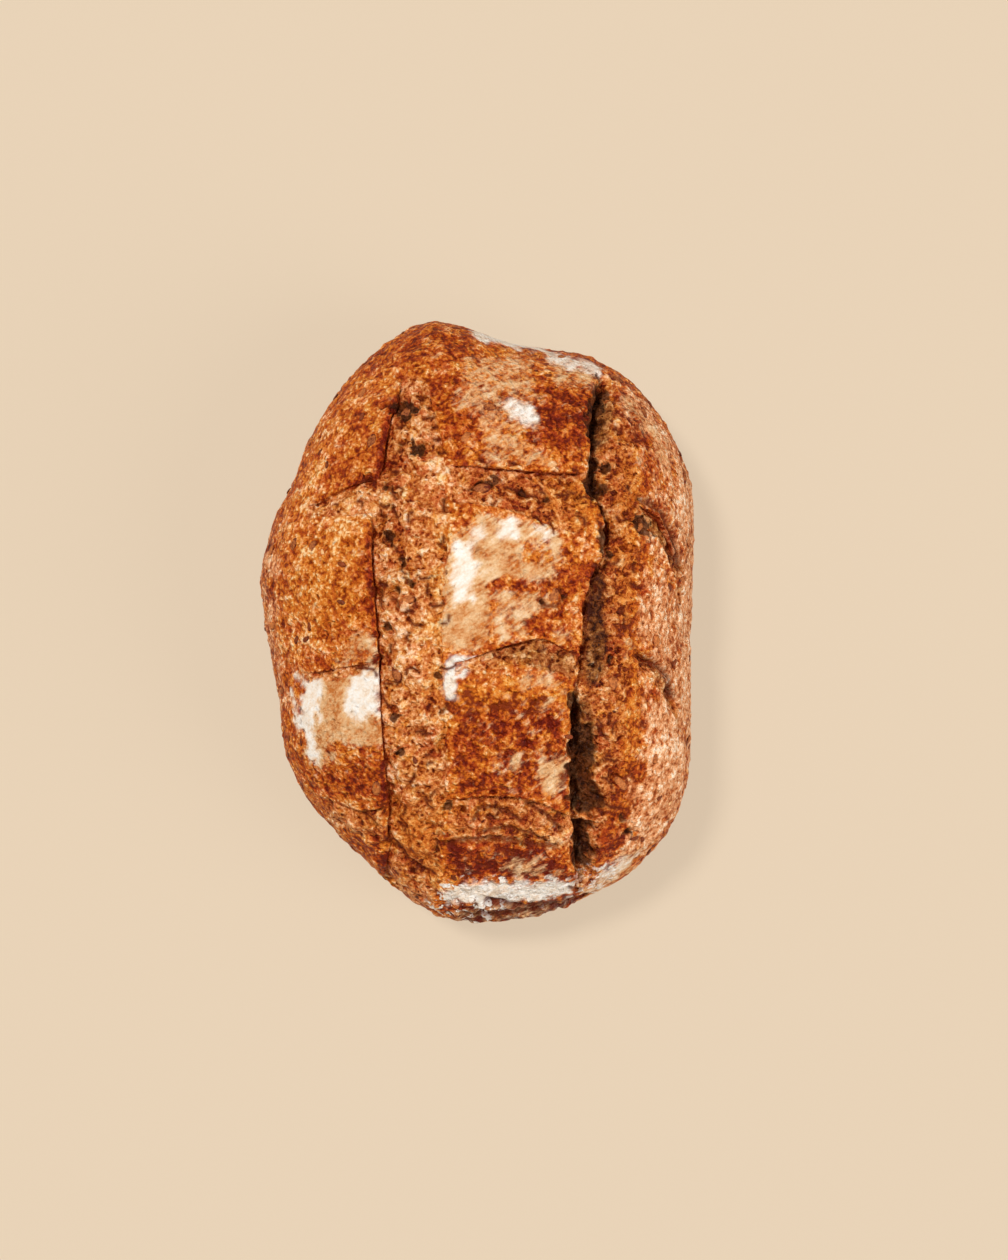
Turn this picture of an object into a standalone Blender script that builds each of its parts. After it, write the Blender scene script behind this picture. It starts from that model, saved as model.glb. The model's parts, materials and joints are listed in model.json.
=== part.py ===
"""Multigrain bread: one whole hearth loaf with two long cuts and three cross cuts, on its flat underside.

Lengths are millimetres up to the last step, which writes the mesh in metres. +Z is up, +Y runs along
the loaf, and the origin is under the middle of its box. Angles round the loaf count from +X.
"""

import math
import random

import bmesh
import bpy
import numpy as np
from mathutils import Matrix, Vector, noise
from mathutils.bvhtree import BVHTree

MM = 0.001

# Whole loaf: height, height of the widest line, the plan points under the crown and under the box's middle
HEIGHT = 92.0
BELLY = 28.0
CROWN = (4.0, 2.0)
DOME_FULLNESS = 2.35
DOME_RISE = 1.95
BASE_INSET = 14.0
BOX_MIDDLE = (0.5, -0.5)

# Outline: its four outermost points, the fullness of the quarters between them, then swells and dents
EAST = (93.9, 40.7)
NORTH = (-18.6, 131.0)
WEST = (-93.0, 18.0)
SOUTH = (-9.0, -130.3)
QUARTER_FULLNESS = (2.23, 1.52, 1.80, 2.60)
SWELLS = (
    (83.6, -7.2, 13.0), (145.0, -1.7, 6.9), (218.7, 5.3, 12.6), (248.2, -3.4, 12.7), (312.2, 12.1, 19.0),
)

# Long cuts, from south to north: where the raised flap ends, and the far edge of the open crumb beside it
LEFT_LIP = (
    (-41, -132), (-44, -80), (-47, -45), (-49, -9), (-51, 35), (-47, 57), (-42, 82), (-37, 97), (-33, 125),
)
LEFT_FAR = (
    (-21, -132), (-21, -107), (-20, -61), (-22, -12), (-19, 42), (-20, 62), (-25, 92), (-29, 104), (-29, 125),
)
RIGHT_LIP = (
    (39, -125), (36, -106), (31, -70), (31, -42), (35, -18), (38, 8), (46, 30), (40, 56), (42, 80), (50, 106),
    (54, 130),
)
RIGHT_FAR = (
    (46, -125), (46, -100), (53, -63), (57, -34), (58, -10), (59, 30), (61, 60), (58, 88), (57, 106),
    (59, 130),
)

# Cross cuts, from west to east
CROSS_LIPS = (
    (
        (-96, 34), (-72, 48), (-60, 53), (-47, 57), (-16, 61), (20, 59), (42, 57), (62, 46), (75, 38),
        (84, 18), (96, 2),
    ),
    (
        (-96, -20), (-77, -24), (-53, -21), (-17, -21), (6, -13), (20, -11), (34, -18), (64, -18), (74, -26),
        (82, -38), (96, -52),
    ),
    (
        (-92, -46), (-72, -72), (-58, -80), (-44, -80), (-16, -77), (4, -75), (20, -78), (36, -85), (60, -80),
        (92, -62),
    ),
)
CROSS_FARS = (
    (
        (-96, 22), (-74, 40), (-60, 41), (-47, 42), (-10, 45), (12, 40), (32, 33), (62, 38), (74, 26),
        (84, 4), (96, -12),
    ),
    (
        (-96, -26), (-77, -28), (-53, -26), (-17, -27), (6, -22), (20, -23), (34, -28), (64, -25), (74, -35),
        (82, -48), (96, -62),
    ),
    (
        (-92, -60), (-72, -84), (-58, -92), (-44, -94), (-16, -94), (4, -95), (20, -96), (36, -98), (60, -96),
        (92, -76),
    ),
)

# Cut sections: how far the flap rises, how deep the crumb starts, how far the flap hangs over, how far back
# the flap's rise reaches, how fast the crumb climbs out of the crease, and the step up to the far crust
LEFT_SECTION = (1.5, 2.6, 1.0, 15.0, 2.6, 0.8)
RIGHT_SECTION = (1.6, 10.5, 2.0, 12.0, 1.15, 0.8)
CROSS_SECTIONS = (
    (1.2, 3.4, 1.0, 9.0, 0.9, 1.4),
    (1.3, 3.0, 1.1, 8.0, 1.1, 0.8),
    (1.3, 3.0, 1.1, 8.0, 1.0, 0.7),
)

# Share of each section that stands at points along its cut
LEFT_SHARE = ((-120, 0), (-100, 0.5), (-82, 1), (35, 1), (41, 0.15), (55, 0.15), (61, 1), (90, 1), (103, 0))
LEFT_CRUMB_SHARE = (
    (-122, 0.2), (-100, 0.7), (-80, 1), (34, 1), (41, 0.4), (55, 0.4), (62, 1), (88, 1), (105, 0),
)
RIGHT_SHARE = (
    (-116, 0), (-110, 0.9), (-91, 0.9), (-85, 0.4), (-79, 0.95), (-44, 0.85), (-32, 0.5), (18, 0.4),
    (30, 0.8), (44, 1), (96, 0.8), (108, 0),
)
CROSS_SHARES = (
    (
        (-80, 0), (-70, 0.4), (-52, 0.5), (-46, 0), (-20, 0), (-14, 0.8), (4, 1), (34, 0.8), (41, 0), (59, 0),
        (67, 0.75), (80, 0.65), (87, 0),
    ),
    (
        (-80, 0), (-72, 0.4), (-58, 0.5), (-52, 0), (-20, 0), (-12, 0.6), (8, 1), (26, 0.8), (36, 0), (58, 0),
        (68, 0.5), (76, 0.55), (85, 0),
    ),
    ((-70, 0), (-60, 0.6), (-48, 0.8), (-42, 0), (-21, 0), (-12, 0.7), (4, 1), (28, 0.9), (37, 0), (96, 0)),
)

# How far the crumb swells and the far crust's edge stands proud, as shares of the step, and how far back the
# latter reaches
CRUMB_SWELL = 0.6
FAR_RIM = 0.5
FAR_REACH = 6.0

# Torn gash at the south end: its line in plan, its depth and half its width
GASH = ((-43, -97), (-37, -103), (-27, -110))
GASH_DEPTH = 3.0
GASH_HALF_WIDTH = 3.2

# Unevenness of the crust and of the open crumb: wavelength and height of each
CRUST_WAVES = ((34.0, 1.3), (13.0, 0.6), (6.5, 0.3))
CRUMB_WAVES = ((15.0, 1.8), (7.5, 1.3))

# Grid: columns and rows between the loaf's edge and the cuts, on the flaps, and across the open crumb, then
# the points round each flap's edge, the lines beside each far edge, and the width of a closed cut's lines
COLUMN_STEPS = (9, 8, 8, 7, 8)
ROW_STEPS = (10, 4, 8, 2, 8, 4, 7)
EDGE_TURNS = (0.0, 1 / 3, 1.0)
FAR_OFFSETS = (-0.6, 0.6)
CLOSED_WIDTH = 2.4
EDGE_CURL = 1.5 * math.pi
PLACE_STEPS = 401
SKIRT_RINGS = 5

# Grains on the crust: count, least and most length, width over length and thickness over width, the gap
# between them, their facets, how far out and down they reach, and how proud they stand. Then those that the
# photo shows, each as plan point, length, width and heading
GRAIN_COUNT = 66
GRAIN_LENGTH = (5.0, 8.5)
GRAIN_WIDTH = (0.45, 0.62)
GRAIN_THICKNESS = (0.62, 0.8)
GRAIN_GAP = 9.0
GRAIN_SIDES = 5
GRAIN_RINGS = 4
GRAIN_FURTHEST = 0.995
GRAIN_LOWEST = 1.5
GRAIN_PROUD = 0.1
RAY_START = 25.0
STEEP = 0.5
SITE_SEED = 20
THICKNESS_SEED = 31
SEEN_GRAINS = (
    (-40.2, -25.3, 8.0, 4.2, 100),
    (50.8, -29.5, 7.0, 5.6, 60),
    (-36.0, 86.5, 8.0, 4.5, 60),
    (63.6, 36.4, 6.5, 3.2, 35),
    (-35.4, 4.7, 6.0, 4.0, 20),
    (-4.9, 51.6, 8.0, 5.0, 10),
    (24.0, 6.0, 8.5, 4.6, 70),
    (-89.5, -3.1, 6.5, 4.0, 90),
    (-85.5, -30.8, 5.5, 3.6, 90),
    (-73.0, 77.0, 8.0, 4.0, 60),
    (84.5, 80.5, 5.5, 3.4, 120),
    (89.5, -72.6, 6.0, 3.6, 80),
)

# Surface: how far a face may turn before its edge is sharp, the colours, and each flour patch's middle and
# half sizes in plan
SHARP_ANGLE = math.radians(50)
COLOURS = {
    "crust": (0.46, 0.15, 0.035),
    "crumb": (0.50, 0.22, 0.075),
    "flour": (0.76, 0.60, 0.45),
    "grain": (0.20, 0.075, 0.025),
}
CRUMB_SHOWS = 0.5
FLOUR_PATCHES = ((-63, -42, 17, 22), (3, 10, 24, 27), (8, 92, 26, 20), (15, -113, 38, 7))


def clear_scene():
    for old in list(bpy.data.objects):
        bpy.data.objects.remove(old)


def curve(points):
    """A smooth function through the points."""
    at, value = (np.array(column, float) for column in zip(*sorted(points)))
    steps = np.diff(value) / np.diff(at)
    inner = (steps[1:] + steps[:-1]) / 2
    slopes = np.concatenate([steps[:1], inner, steps[-1:]])

    def read(where):
        where = np.clip(where, at[0], at[-1])
        k = np.clip(np.searchsorted(at, where) - 1, 0, len(at) - 2)
        gap = at[k + 1] - at[k]
        u = (where - at[k]) / gap
        start = value[k] * (1 + 2 * u) * (1 - u) ** 2 + slopes[k] * gap * u * (1 - u) ** 2
        end = value[k + 1] * (3 - 2 * u) * u**2 - slopes[k + 1] * gap * u**2 * (1 - u)
        return start + end

    return read


def plan_line(points):
    """The line's x as a function of y."""
    return curve([(y, x) for x, y in points])


def share(points):
    """A share between 0 and 1 that eases from point to point."""
    at, value = (np.array(column, float) for column in zip(*points))

    def read(where):
        k = np.clip(np.searchsorted(at, where) - 1, 0, len(at) - 2)
        u = np.clip((where - at[k]) / (at[k + 1] - at[k]), 0, 1)
        return value[k] + (value[k + 1] - value[k]) * u * u * (3 - 2 * u)

    return read


def outline_table(count=1440):
    """Angles round the crown's plan point, and the outline's distance from it at each."""
    tips = (EAST, NORTH, WEST, SOUTH)
    signs = ((1, 1), (-1, 1), (-1, -1), (1, -1))
    turn = np.linspace(0, math.pi / 2, count // 4, endpoint=False)
    parts = []
    for k, (fullness, (sx, sy)) in enumerate(zip(QUARTER_FULLNESS, signs)):
        first, second = tips[k], tips[(k + 1) % 4]
        side, end = (first, second) if k % 2 == 0 else (second, first)
        half_x, half_y = abs(side[0] - end[0]), abs(end[1] - side[1])
        t = turn if k % 2 == 0 else math.pi / 2 - turn
        cos, sin = np.maximum(np.cos(t), 0), np.maximum(np.sin(t), 0)
        x = end[0] + sx * half_x * cos ** (2 / fullness) - CROWN[0]
        y = side[1] + sy * half_y * sin ** (2 / fullness) - CROWN[1]
        parts.append(np.stack([np.arctan2(y, x) % (2 * math.pi), np.hypot(x, y)], 1))
    table = np.concatenate(parts)
    angles = np.linspace(0, 2 * math.pi, count, endpoint=False)
    order = np.argsort(table[:, 0])
    reach = np.interp(angles, table[order, 0], table[order, 1], period=2 * math.pi)
    for at, height, spread in SWELLS:
        away = (angles - math.radians(at) + math.pi) % (2 * math.pi) - math.pi
        reach = reach + height * np.exp(-((away / math.radians(spread)) ** 2))
    return angles, reach


ANGLES, REACH = outline_table()
REACH_SLOPE = (np.roll(REACH, -1) - np.roll(REACH, 1)) / (2 * ANGLES[1])


def outline(theta):
    """The outline's distance at each angle, its outward normal, and the cosine between the two."""
    reach = np.interp(theta, ANGLES, REACH, period=2 * math.pi)
    slope = np.interp(theta, ANGLES, REACH_SLOPE, period=2 * math.pi)
    cos, sin = np.cos(theta), np.sin(theta)
    normal = np.stack([reach * cos + slope * sin, reach * sin - slope * cos], -1)
    size = np.hypot(reach, slope)
    return reach, normal / size[..., None], reach / size


def dome(theta, rho):
    """Points and normals of the plain loaf: rho is 0 at the crown, 1 at the belly, 2 at the base's edge."""
    reach, side, lean = outline(theta)
    climb = np.clip(rho, 1e-4, 1) * math.pi / 2
    r = np.sin(climb) ** (2 / DOME_FULLNESS)
    z = BELLY + (HEIGHT - BELLY) * np.maximum(np.cos(climb), 0) ** (2 / DOME_RISE)
    run = (2 / DOME_FULLNESS) * np.sin(climb) ** (2 / DOME_FULLNESS - 1) * np.cos(climb)
    fall = (2 / DOME_RISE) * np.maximum(np.cos(climb), 0) ** (2 / DOME_RISE - 1) * np.sin(climb)
    out, up = (HEIGHT - BELLY) * fall / (reach * lean), run
    tuck = np.clip(rho - 1, 0, 1) * math.pi / 2
    below = np.asarray(rho) > 1
    r = np.where(below, 1 - BASE_INSET * (1 - np.cos(tuck)) / reach, r)
    z = np.where(below, BELLY * (1 - np.sin(tuck)), z)
    out = np.where(below, np.cos(tuck) / BASE_INSET, out)
    up = np.where(below, -np.sin(tuck) / BELLY, up)
    points = np.stack([CROWN[0] + r * reach * np.cos(theta), CROWN[1] + r * reach * np.sin(theta), z], -1)
    normals = np.concatenate([side * out[..., None], up[..., None]], -1)
    return points, normals / np.linalg.norm(normals, axis=-1, keepdims=True)


def square_to_disc(s, t):
    """(theta, rho) of a point of the square -1..1, whose four corners lie on the belly line."""
    u = s * np.sqrt(1 - t * t / 2)
    v = t * np.sqrt(1 - s * s / 2)
    return np.arctan2(v * NORTH[1], u * EAST[0]), np.hypot(u, v)


def crossings(gap, along):
    """Where each row of gap, which rises from below 0 to above 0, crosses 0, read on the scale along."""
    after = np.clip((gap > 0).argmax(1), 1, gap.shape[1] - 1)
    rows = np.arange(len(gap))
    low, high = gap[rows, after - 1], gap[rows, after]
    part = np.clip(-low / (high - low), 0, 1)
    return along[after - 1] + part * (along[after] - along[after - 1])


class Cut:
    """One cut: its flap's edge, the far edge of its crumb, its section, its shares and its flap's side."""

    def __init__(self, lip, far, section, flap_share, crumb_share, flap_side):
        self.lip, self.far = lip, far
        self.lift, self.drop, self.hang, self.reach, self.climb, self.step = section
        self.flap_share, self.crumb_share = flap_share, crumb_share
        self.flap_side = flap_side

    def edge_line(self, turn, along):
        """The flap's edge in plan: turn is 0 on the flap, 1/3 at its tip and 1 in the crease."""
        flat = (turn - 0.5) * CLOSED_WIDTH
        curled = self.hang * math.sin(EDGE_CURL * turn)
        part = self.flap_share(along)
        return self.lip(along) - self.flap_side * (flat * (1 - part) + curled * part)

    def far_line(self, offset, along):
        return self.far(along) - self.flap_side * offset

    def edge_height(self, turn, along):
        top = self.lift * self.flap_share(along)
        bottom = -self.drop * self.crumb_share(along)
        return top + (bottom - top) * (1 - math.cos(math.pi * turn)) / 2

    def flap_height(self, away, along):
        return self.lift * self.flap_share(along) * np.exp(-np.maximum(away, 0) / self.reach)

    def crumb_height(self, away, along):
        """The crumb rises from the crease, swells past the middle and ends a step below the far crust."""
        width = np.abs(self.far(along) - self.lip(along))
        f = np.clip(away / width, 0, 1)
        rise = -self.drop * (1 - f) ** self.climb
        swell = self.step * (CRUMB_SWELL * np.sin(math.pi * f) - f**3)
        return (rise + swell) * self.crumb_share(along)

    def far_height(self, beyond, along):
        """The far crust's edge stands a little proud and sinks back away from the cut."""
        rim = FAR_RIM * self.step * self.crumb_share(along)
        return rim * np.exp(-np.maximum(beyond, 0) / FAR_REACH)


def make_cuts():
    """The long cuts run along y with flaps to the west, the cross cuts along x with flaps to the north."""
    left_shares = share(LEFT_SHARE), share(LEFT_CRUMB_SHARE)
    right_shares = share(RIGHT_SHARE), share(RIGHT_SHARE)
    longs = [
        Cut(plan_line(LEFT_LIP), plan_line(LEFT_FAR), LEFT_SECTION, *left_shares, -1),
        Cut(plan_line(RIGHT_LIP), plan_line(RIGHT_FAR), RIGHT_SECTION, *right_shares, -1),
    ]
    crosses = [
        Cut(curve(lip), curve(far), section, share(part), share(part), 1)
        for lip, far, section, part in zip(CROSS_LIPS, CROSS_FARS, CROSS_SECTIONS, CROSS_SHARES)
    ]
    return longs, crosses


def stations(cuts, steps):
    """Grid lines at the border and at each cut's edges, each as (kind, cut, value, steps to the next)."""
    lines = [("border", None, -1.0, steps[0])]
    for cut, across, after in zip(cuts, steps[1::2], steps[2::2]):
        lines += [("edge", cut, turn, 1) for turn in EDGE_TURNS[:-1]]
        lines.append(("edge", cut, EDGE_TURNS[-1], across))
        lines += [("far", cut, offset, 1) for offset in FAR_OFFSETS[:-1]]
        lines.append(("far", cut, FAR_OFFSETS[-1], after))
    lines.append(("border", None, 1.0, 0))
    return lines


def spread_lines(lines, place):
    """Positions of all grid lines as (lines, samples), and each line's station."""
    known = [place(line) for line in lines]
    rows, kinds = [], []
    for k, line in enumerate(lines[:-1]):
        for n in range(line[3]):
            part = n / line[3]
            rows.append(known[k] * (1 - part) + known[k + 1] * part)
            kinds.append((k, n))
    rows.append(known[-1])
    kinds.append((len(lines) - 1, 0))
    return np.array(rows), kinds


def grid_places(longs, crosses):
    """The (s, t) of each grid point, and which station each column and row belongs to."""
    fine = np.linspace(-1, 1, PLACE_STEPS)
    theta, rho = square_to_disc(fine[None, :], fine[:, None])
    x, y = np.moveaxis(dome(theta, rho)[0][..., :2], -1, 0)

    def column_place(line):
        kind, cut, value, _ = line
        if kind == "border":
            return np.full(len(fine), value)
        target = cut.edge_line(value, y) if kind == "edge" else cut.far_line(value, y)
        return crossings(x - target, fine)

    columns, column_kinds = spread_lines(stations(longs, COLUMN_STEPS), column_place)
    theta, rho = square_to_disc(columns, fine[None, :])
    cx, cy = np.moveaxis(dome(theta, rho)[0][..., :2], -1, 0)

    def row_place(line):
        kind, cut, value, _ = line
        if kind == "border":
            return np.full(len(columns), -value)
        target = cut.edge_line(value, cx) if kind == "edge" else cut.far_line(value, cx)
        return crossings(cy - target, fine)

    rows, row_kinds = spread_lines(stations(crosses, ROW_STEPS), row_place)
    t = rows.T
    s = np.array([np.interp(t[i], fine, columns[i]) for i in range(len(columns))])
    return s, t, column_kinds, row_kinds


def heights_over(cuts, kinds, across, along):
    """Height over the plain loaf that the cuts of one direction give, and how much of each point is crumb."""
    height, crumb = np.zeros(across.shape), np.zeros(across.shape)
    for c, cut in enumerate(cuts):
        first = 1 + c * (len(EDGE_TURNS) + len(FAR_OFFSETS))
        crease = first + len(EDGE_TURNS) - 1
        for k, (station, n) in enumerate(kinds):
            away = (cut.lip(along[k]) - across[k]) * cut.flap_side
            if station < first:
                height[k] += cut.flap_height(-away, along[k])
            elif station <= crease and n == 0:
                height[k] += cut.edge_height(EDGE_TURNS[station - first], along[k])
            elif station <= crease + 1:
                height[k] += cut.crumb_height(away, along[k])
                crumb[k] = np.maximum(crumb[k], cut.crumb_share(along[k]))
            else:
                width = np.abs(cut.far(along[k]) - cut.lip(along[k]))
                height[k] += cut.far_height(away - width, along[k])
    return height, crumb


def gash_depth(x, y):
    """A torn groove along the gash's points, deepest on its line."""
    away = np.full(x.shape, np.inf)
    for (ax, ay), (bx, by) in zip(GASH, GASH[1:]):
        length = math.hypot(bx - ax, by - ay)
        part = np.clip(((x - ax) * (bx - ax) + (y - ay) * (by - ay)) / length**2, 0, 1)
        away = np.minimum(away, np.hypot(x - ax - part * (bx - ax), y - ay - part * (by - ay)))
    return GASH_DEPTH * np.exp(-((away / GASH_HALF_WIDTH) ** 2))


def waves(points, table):
    """Sum of smooth random waves at the points."""
    flat = points.reshape(-1, 3)
    height = np.zeros(len(flat))
    for n, (length, size) in enumerate(table):
        shift = Vector((17.0 * n, 5.0 * n, 31.0 * n))
        height += size * np.array([noise.noise(Vector(p) / length + shift) for p in flat])
    return height.reshape(points.shape[:-1])


def top_points():
    """Points of the cut top as a grid of columns and rows, their crumb share, and the angles of its rim."""
    longs, crosses = make_cuts()
    s, t, column_kinds, row_kinds = grid_places(longs, crosses)
    theta, rho = square_to_disc(s, t)
    base, normal = dome(theta, rho)
    x, y = base[..., 0], base[..., 1]
    long_height, long_crumb = heights_over(longs, column_kinds, x, y)
    cross_height, cross_crumb = heights_over(crosses, row_kinds, y.T, x.T)
    crumb = np.maximum(long_crumb, cross_crumb.T)
    height = long_height + cross_height.T - gash_depth(x, y)
    height += waves(base, CRUST_WAVES) + crumb * waves(base, CRUMB_WAVES)
    return base + normal * height[..., None], crumb, theta


def rim(columns, rows):
    """Grid indices of the rim, counterclockwise from the north-west corner."""
    west = [(0, j) for j in range(rows)]
    south = [(i, rows - 1) for i in range(1, columns)]
    east = [(columns - 1, j) for j in range(rows - 2, -1, -1)]
    north = [(i, 0) for i in range(columns - 2, 0, -1)]
    return west + south + east + north


def skirt_ring(theta, rho):
    """One ring of the side between the belly and the base, its unevenness fading out at the base."""
    base, normal = dome(theta, np.full(len(theta), rho))
    height = waves(base, CRUST_WAVES) * (2 - rho)
    return base + normal * height[:, None]


def loaf_mesh():
    """The closed mesh: cut top, side rings and the flat underside."""
    top, crumb, theta = top_points()
    columns, rows = crumb.shape
    edge = rim(columns, rows)
    points = [top.reshape(-1, 3)]
    rings = [[i * rows + j for i, j in edge]]
    around = np.array([theta[i, j] for i, j in edge])
    for ring in range(1, SKIRT_RINGS + 1):
        rings.append([columns * rows + (ring - 1) * len(edge) + k for k in range(len(edge))])
        points.append(skirt_ring(around, 1 + ring / SKIRT_RINGS))
    faces = []
    for i in range(columns - 1):
        for j in range(rows - 1):
            corner = i * rows + j
            faces.append((corner, corner + 1, corner + rows + 1, corner + rows))
    for upper, lower in zip(rings, rings[1:]):
        for k in range(len(edge)):
            after = (k + 1) % len(edge)
            faces.append((upper[k], lower[k], lower[after], upper[after]))
    faces.append(tuple(reversed(rings[-1])))
    points = np.concatenate(points)
    mesh = bpy.data.meshes.new("loaf")
    mesh.from_pydata(points.tolist(), [], faces)
    colour_faces(mesh, crumb.reshape(-1))
    return mesh


def colour_faces(mesh, crumb):
    """Gives each face the crust's, the crumb's or the flour's material."""
    for face in mesh.polygons:
        x, y, z = face.center
        open_crumb = max(crumb[v] if v < len(crumb) else 0 for v in face.vertices) > CRUMB_SHOWS
        floured = z > BELLY and any(
            ((x - px) / half_x) ** 2 + ((y - py) / half_y) ** 2 < 1
            for px, py, half_x, half_y in FLOUR_PATCHES
        )
        face.material_index = 1 if open_crumb else 2 * floured


def material(name, roughness):
    made = bpy.data.materials.new(name)
    made.use_nodes = True
    shader = made.node_tree.nodes["Principled BSDF"]
    shader.inputs["Base Color"].default_value = (*COLOURS[name], 1)
    shader.inputs["Roughness"].default_value = roughness
    shader.inputs["Metallic"].default_value = 0.0
    return made


def grain_sizes(rng):
    length = rng.uniform(*GRAIN_LENGTH)
    width = length * rng.uniform(*GRAIN_WIDTH)
    return length, width


def grain_sites():
    """Where the grains lie: the seen ones first, then random ones spread over the crust and its sides."""
    rng = random.Random(SITE_SEED)
    sites = []
    for x, y, length, width, heading in SEEN_GRAINS:
        dx, dy = x - CROWN[0], y - CROWN[1]
        theta = math.atan2(dy, dx)
        r = min(math.hypot(dx, dy) / float(outline(np.array(theta))[0]), GRAIN_FURTHEST)
        rho = math.asin(r ** (DOME_FULLNESS / 2)) * 2 / math.pi
        sites.append((theta, rho, length, width, math.radians(heading)))
    taken = [Vector(dome(np.array(site[0]), np.array(site[1]))[0]) for site in sites]
    while len(sites) < GRAIN_COUNT:
        theta, rho = rng.uniform(0, 2 * math.pi), GRAIN_LOWEST * math.sqrt(rng.random())
        length, width = grain_sizes(rng)
        heading = rng.uniform(0, math.pi)
        place = Vector(dome(np.array(theta), np.array(rho))[0])
        if min((place - other).length for other in taken) > GRAIN_GAP:
            taken.append(place)
            sites.append((theta, rho, length, width, heading))
    return sites


def grain_frame(tree, site, thickness):
    """The grain's matrix: its middle just over the surface met from outside, its length along the heading."""
    theta, rho, length, width, heading = site
    place, normal = dome(np.array(theta), np.array(rho))
    place, normal = Vector(place), Vector(normal)
    hit, met = tree.ray_cast(place + RAY_START * normal, -normal)[:2]
    along = Vector((math.cos(heading), math.sin(heading), 0))
    if abs(met.z) < STEEP:
        along = Vector((-met.y, met.x, 0)) * math.cos(heading) + Vector((0, 0, 1)) * math.sin(heading)
    across = met.cross(along).normalized()
    along = across.cross(met)
    turn = Matrix((across, met, along)).transposed().to_4x4()
    size = Matrix.Diagonal((width / 2, thickness / 2, length / 2, 1))
    return Matrix.Translation(hit + GRAIN_PROUD * thickness * met) @ turn @ size


def make_grains(loaf):
    """One collection of grain objects over the loaf."""
    rng = random.Random(THICKNESS_SEED)
    points = [vertex.co for vertex in loaf.data.vertices]
    tree = BVHTree.FromPolygons(points, [face.vertices for face in loaf.data.polygons])
    grains = bpy.data.collections.new("grains")
    bpy.context.scene.collection.children.link(grains)
    finish = material("grain", 0.55)
    facets = {"u_segments": GRAIN_SIDES, "v_segments": GRAIN_RINGS}
    for n, site in enumerate(grain_sites()):
        thickness = site[3] * rng.uniform(*GRAIN_THICKNESS)
        form = bmesh.new()
        frame = grain_frame(tree, site, thickness)
        bmesh.ops.create_uvsphere(form, radius=1, matrix=frame, **facets)
        mesh = bpy.data.meshes.new(f"grain_{n:02d}")
        form.to_mesh(mesh)
        form.free()
        mesh.materials.append(finish)
        grains.objects.link(bpy.data.objects.new(mesh.name, mesh))
    return grains


def fuse(loaf, grains):
    """Joins the grains to the loaf and removes them as objects."""
    join = loaf.modifiers.new("join grains", "BOOLEAN")
    join.operation = "UNION"
    join.operand_type = "COLLECTION"
    join.collection = grains
    join.solver = "EXACT"
    join.material_mode = "TRANSFER"
    bpy.context.view_layer.update()
    graph = bpy.context.evaluated_depsgraph_get()
    loaf.data = bpy.data.meshes.new_from_object(loaf.evaluated_get(graph))
    loaf.modifiers.clear()
    for grain in list(grains.objects):
        bpy.data.objects.remove(grain)
    bpy.data.collections.remove(grains)


def settle(mesh):
    """Puts the origin under the middle of the box, and turns millimetres into metres."""
    mesh.transform(Matrix.Scale(MM, 4) @ Matrix.Translation((-BOX_MIDDLE[0], -BOX_MIDDLE[1], 0)))


def main():
    clear_scene()
    loaf = bpy.data.objects.new("loaf", loaf_mesh())
    bpy.context.scene.collection.objects.link(loaf)
    for name, roughness in (("crust", 0.6), ("crumb", 0.75), ("flour", 0.9)):
        loaf.data.materials.append(material(name, roughness))
    fuse(loaf, make_grains(loaf))
    settle(loaf.data)
    loaf.data.shade_smooth()
    loaf.data.set_sharp_from_angle(angle=SHARP_ANGLE)


main()
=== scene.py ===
"""The looks of a multigrain hearth loaf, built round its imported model.

The loaf's form is worked out in millimetres, from the same named sizes as its solid, on a finer grid. Meshes
are written in metres. +Z is up, +Y runs along the loaf, and angles round the loaf count from +X.
"""

import json
import math
import random

import bpy
import numpy as np
from mathutils import Matrix, Vector, noise
from mathutils.bvhtree import BVHTree
from mathutils.kdtree import KDTree

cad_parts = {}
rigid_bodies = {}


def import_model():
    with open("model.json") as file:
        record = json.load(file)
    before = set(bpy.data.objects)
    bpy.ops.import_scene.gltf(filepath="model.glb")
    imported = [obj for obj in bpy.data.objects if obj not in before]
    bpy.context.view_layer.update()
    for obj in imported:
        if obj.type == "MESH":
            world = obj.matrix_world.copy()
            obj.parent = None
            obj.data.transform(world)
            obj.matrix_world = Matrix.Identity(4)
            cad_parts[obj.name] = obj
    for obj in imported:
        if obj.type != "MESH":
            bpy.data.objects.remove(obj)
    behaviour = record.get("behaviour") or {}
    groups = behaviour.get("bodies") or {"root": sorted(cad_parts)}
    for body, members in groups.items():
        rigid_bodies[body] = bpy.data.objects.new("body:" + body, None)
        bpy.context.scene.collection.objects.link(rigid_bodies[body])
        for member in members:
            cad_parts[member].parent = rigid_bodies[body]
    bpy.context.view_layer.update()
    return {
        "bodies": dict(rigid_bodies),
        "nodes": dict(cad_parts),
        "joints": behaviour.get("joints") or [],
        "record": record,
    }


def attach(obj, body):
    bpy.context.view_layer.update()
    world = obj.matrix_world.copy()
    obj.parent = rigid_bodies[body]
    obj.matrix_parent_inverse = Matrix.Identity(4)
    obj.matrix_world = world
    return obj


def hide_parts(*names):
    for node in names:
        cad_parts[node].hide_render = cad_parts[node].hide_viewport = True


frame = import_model()
MM = 0.001

# Whole loaf: height, height of the widest line, the plan points under the crown and under the box's middle
HEIGHT = 92.0
BELLY = 28.0
CROWN = (4.0, 2.0)
DOME_FULLNESS = 2.35
DOME_RISE = 1.95
BASE_INSET = 14.0
BOX_MIDDLE = (0.5, -0.5)

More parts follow.
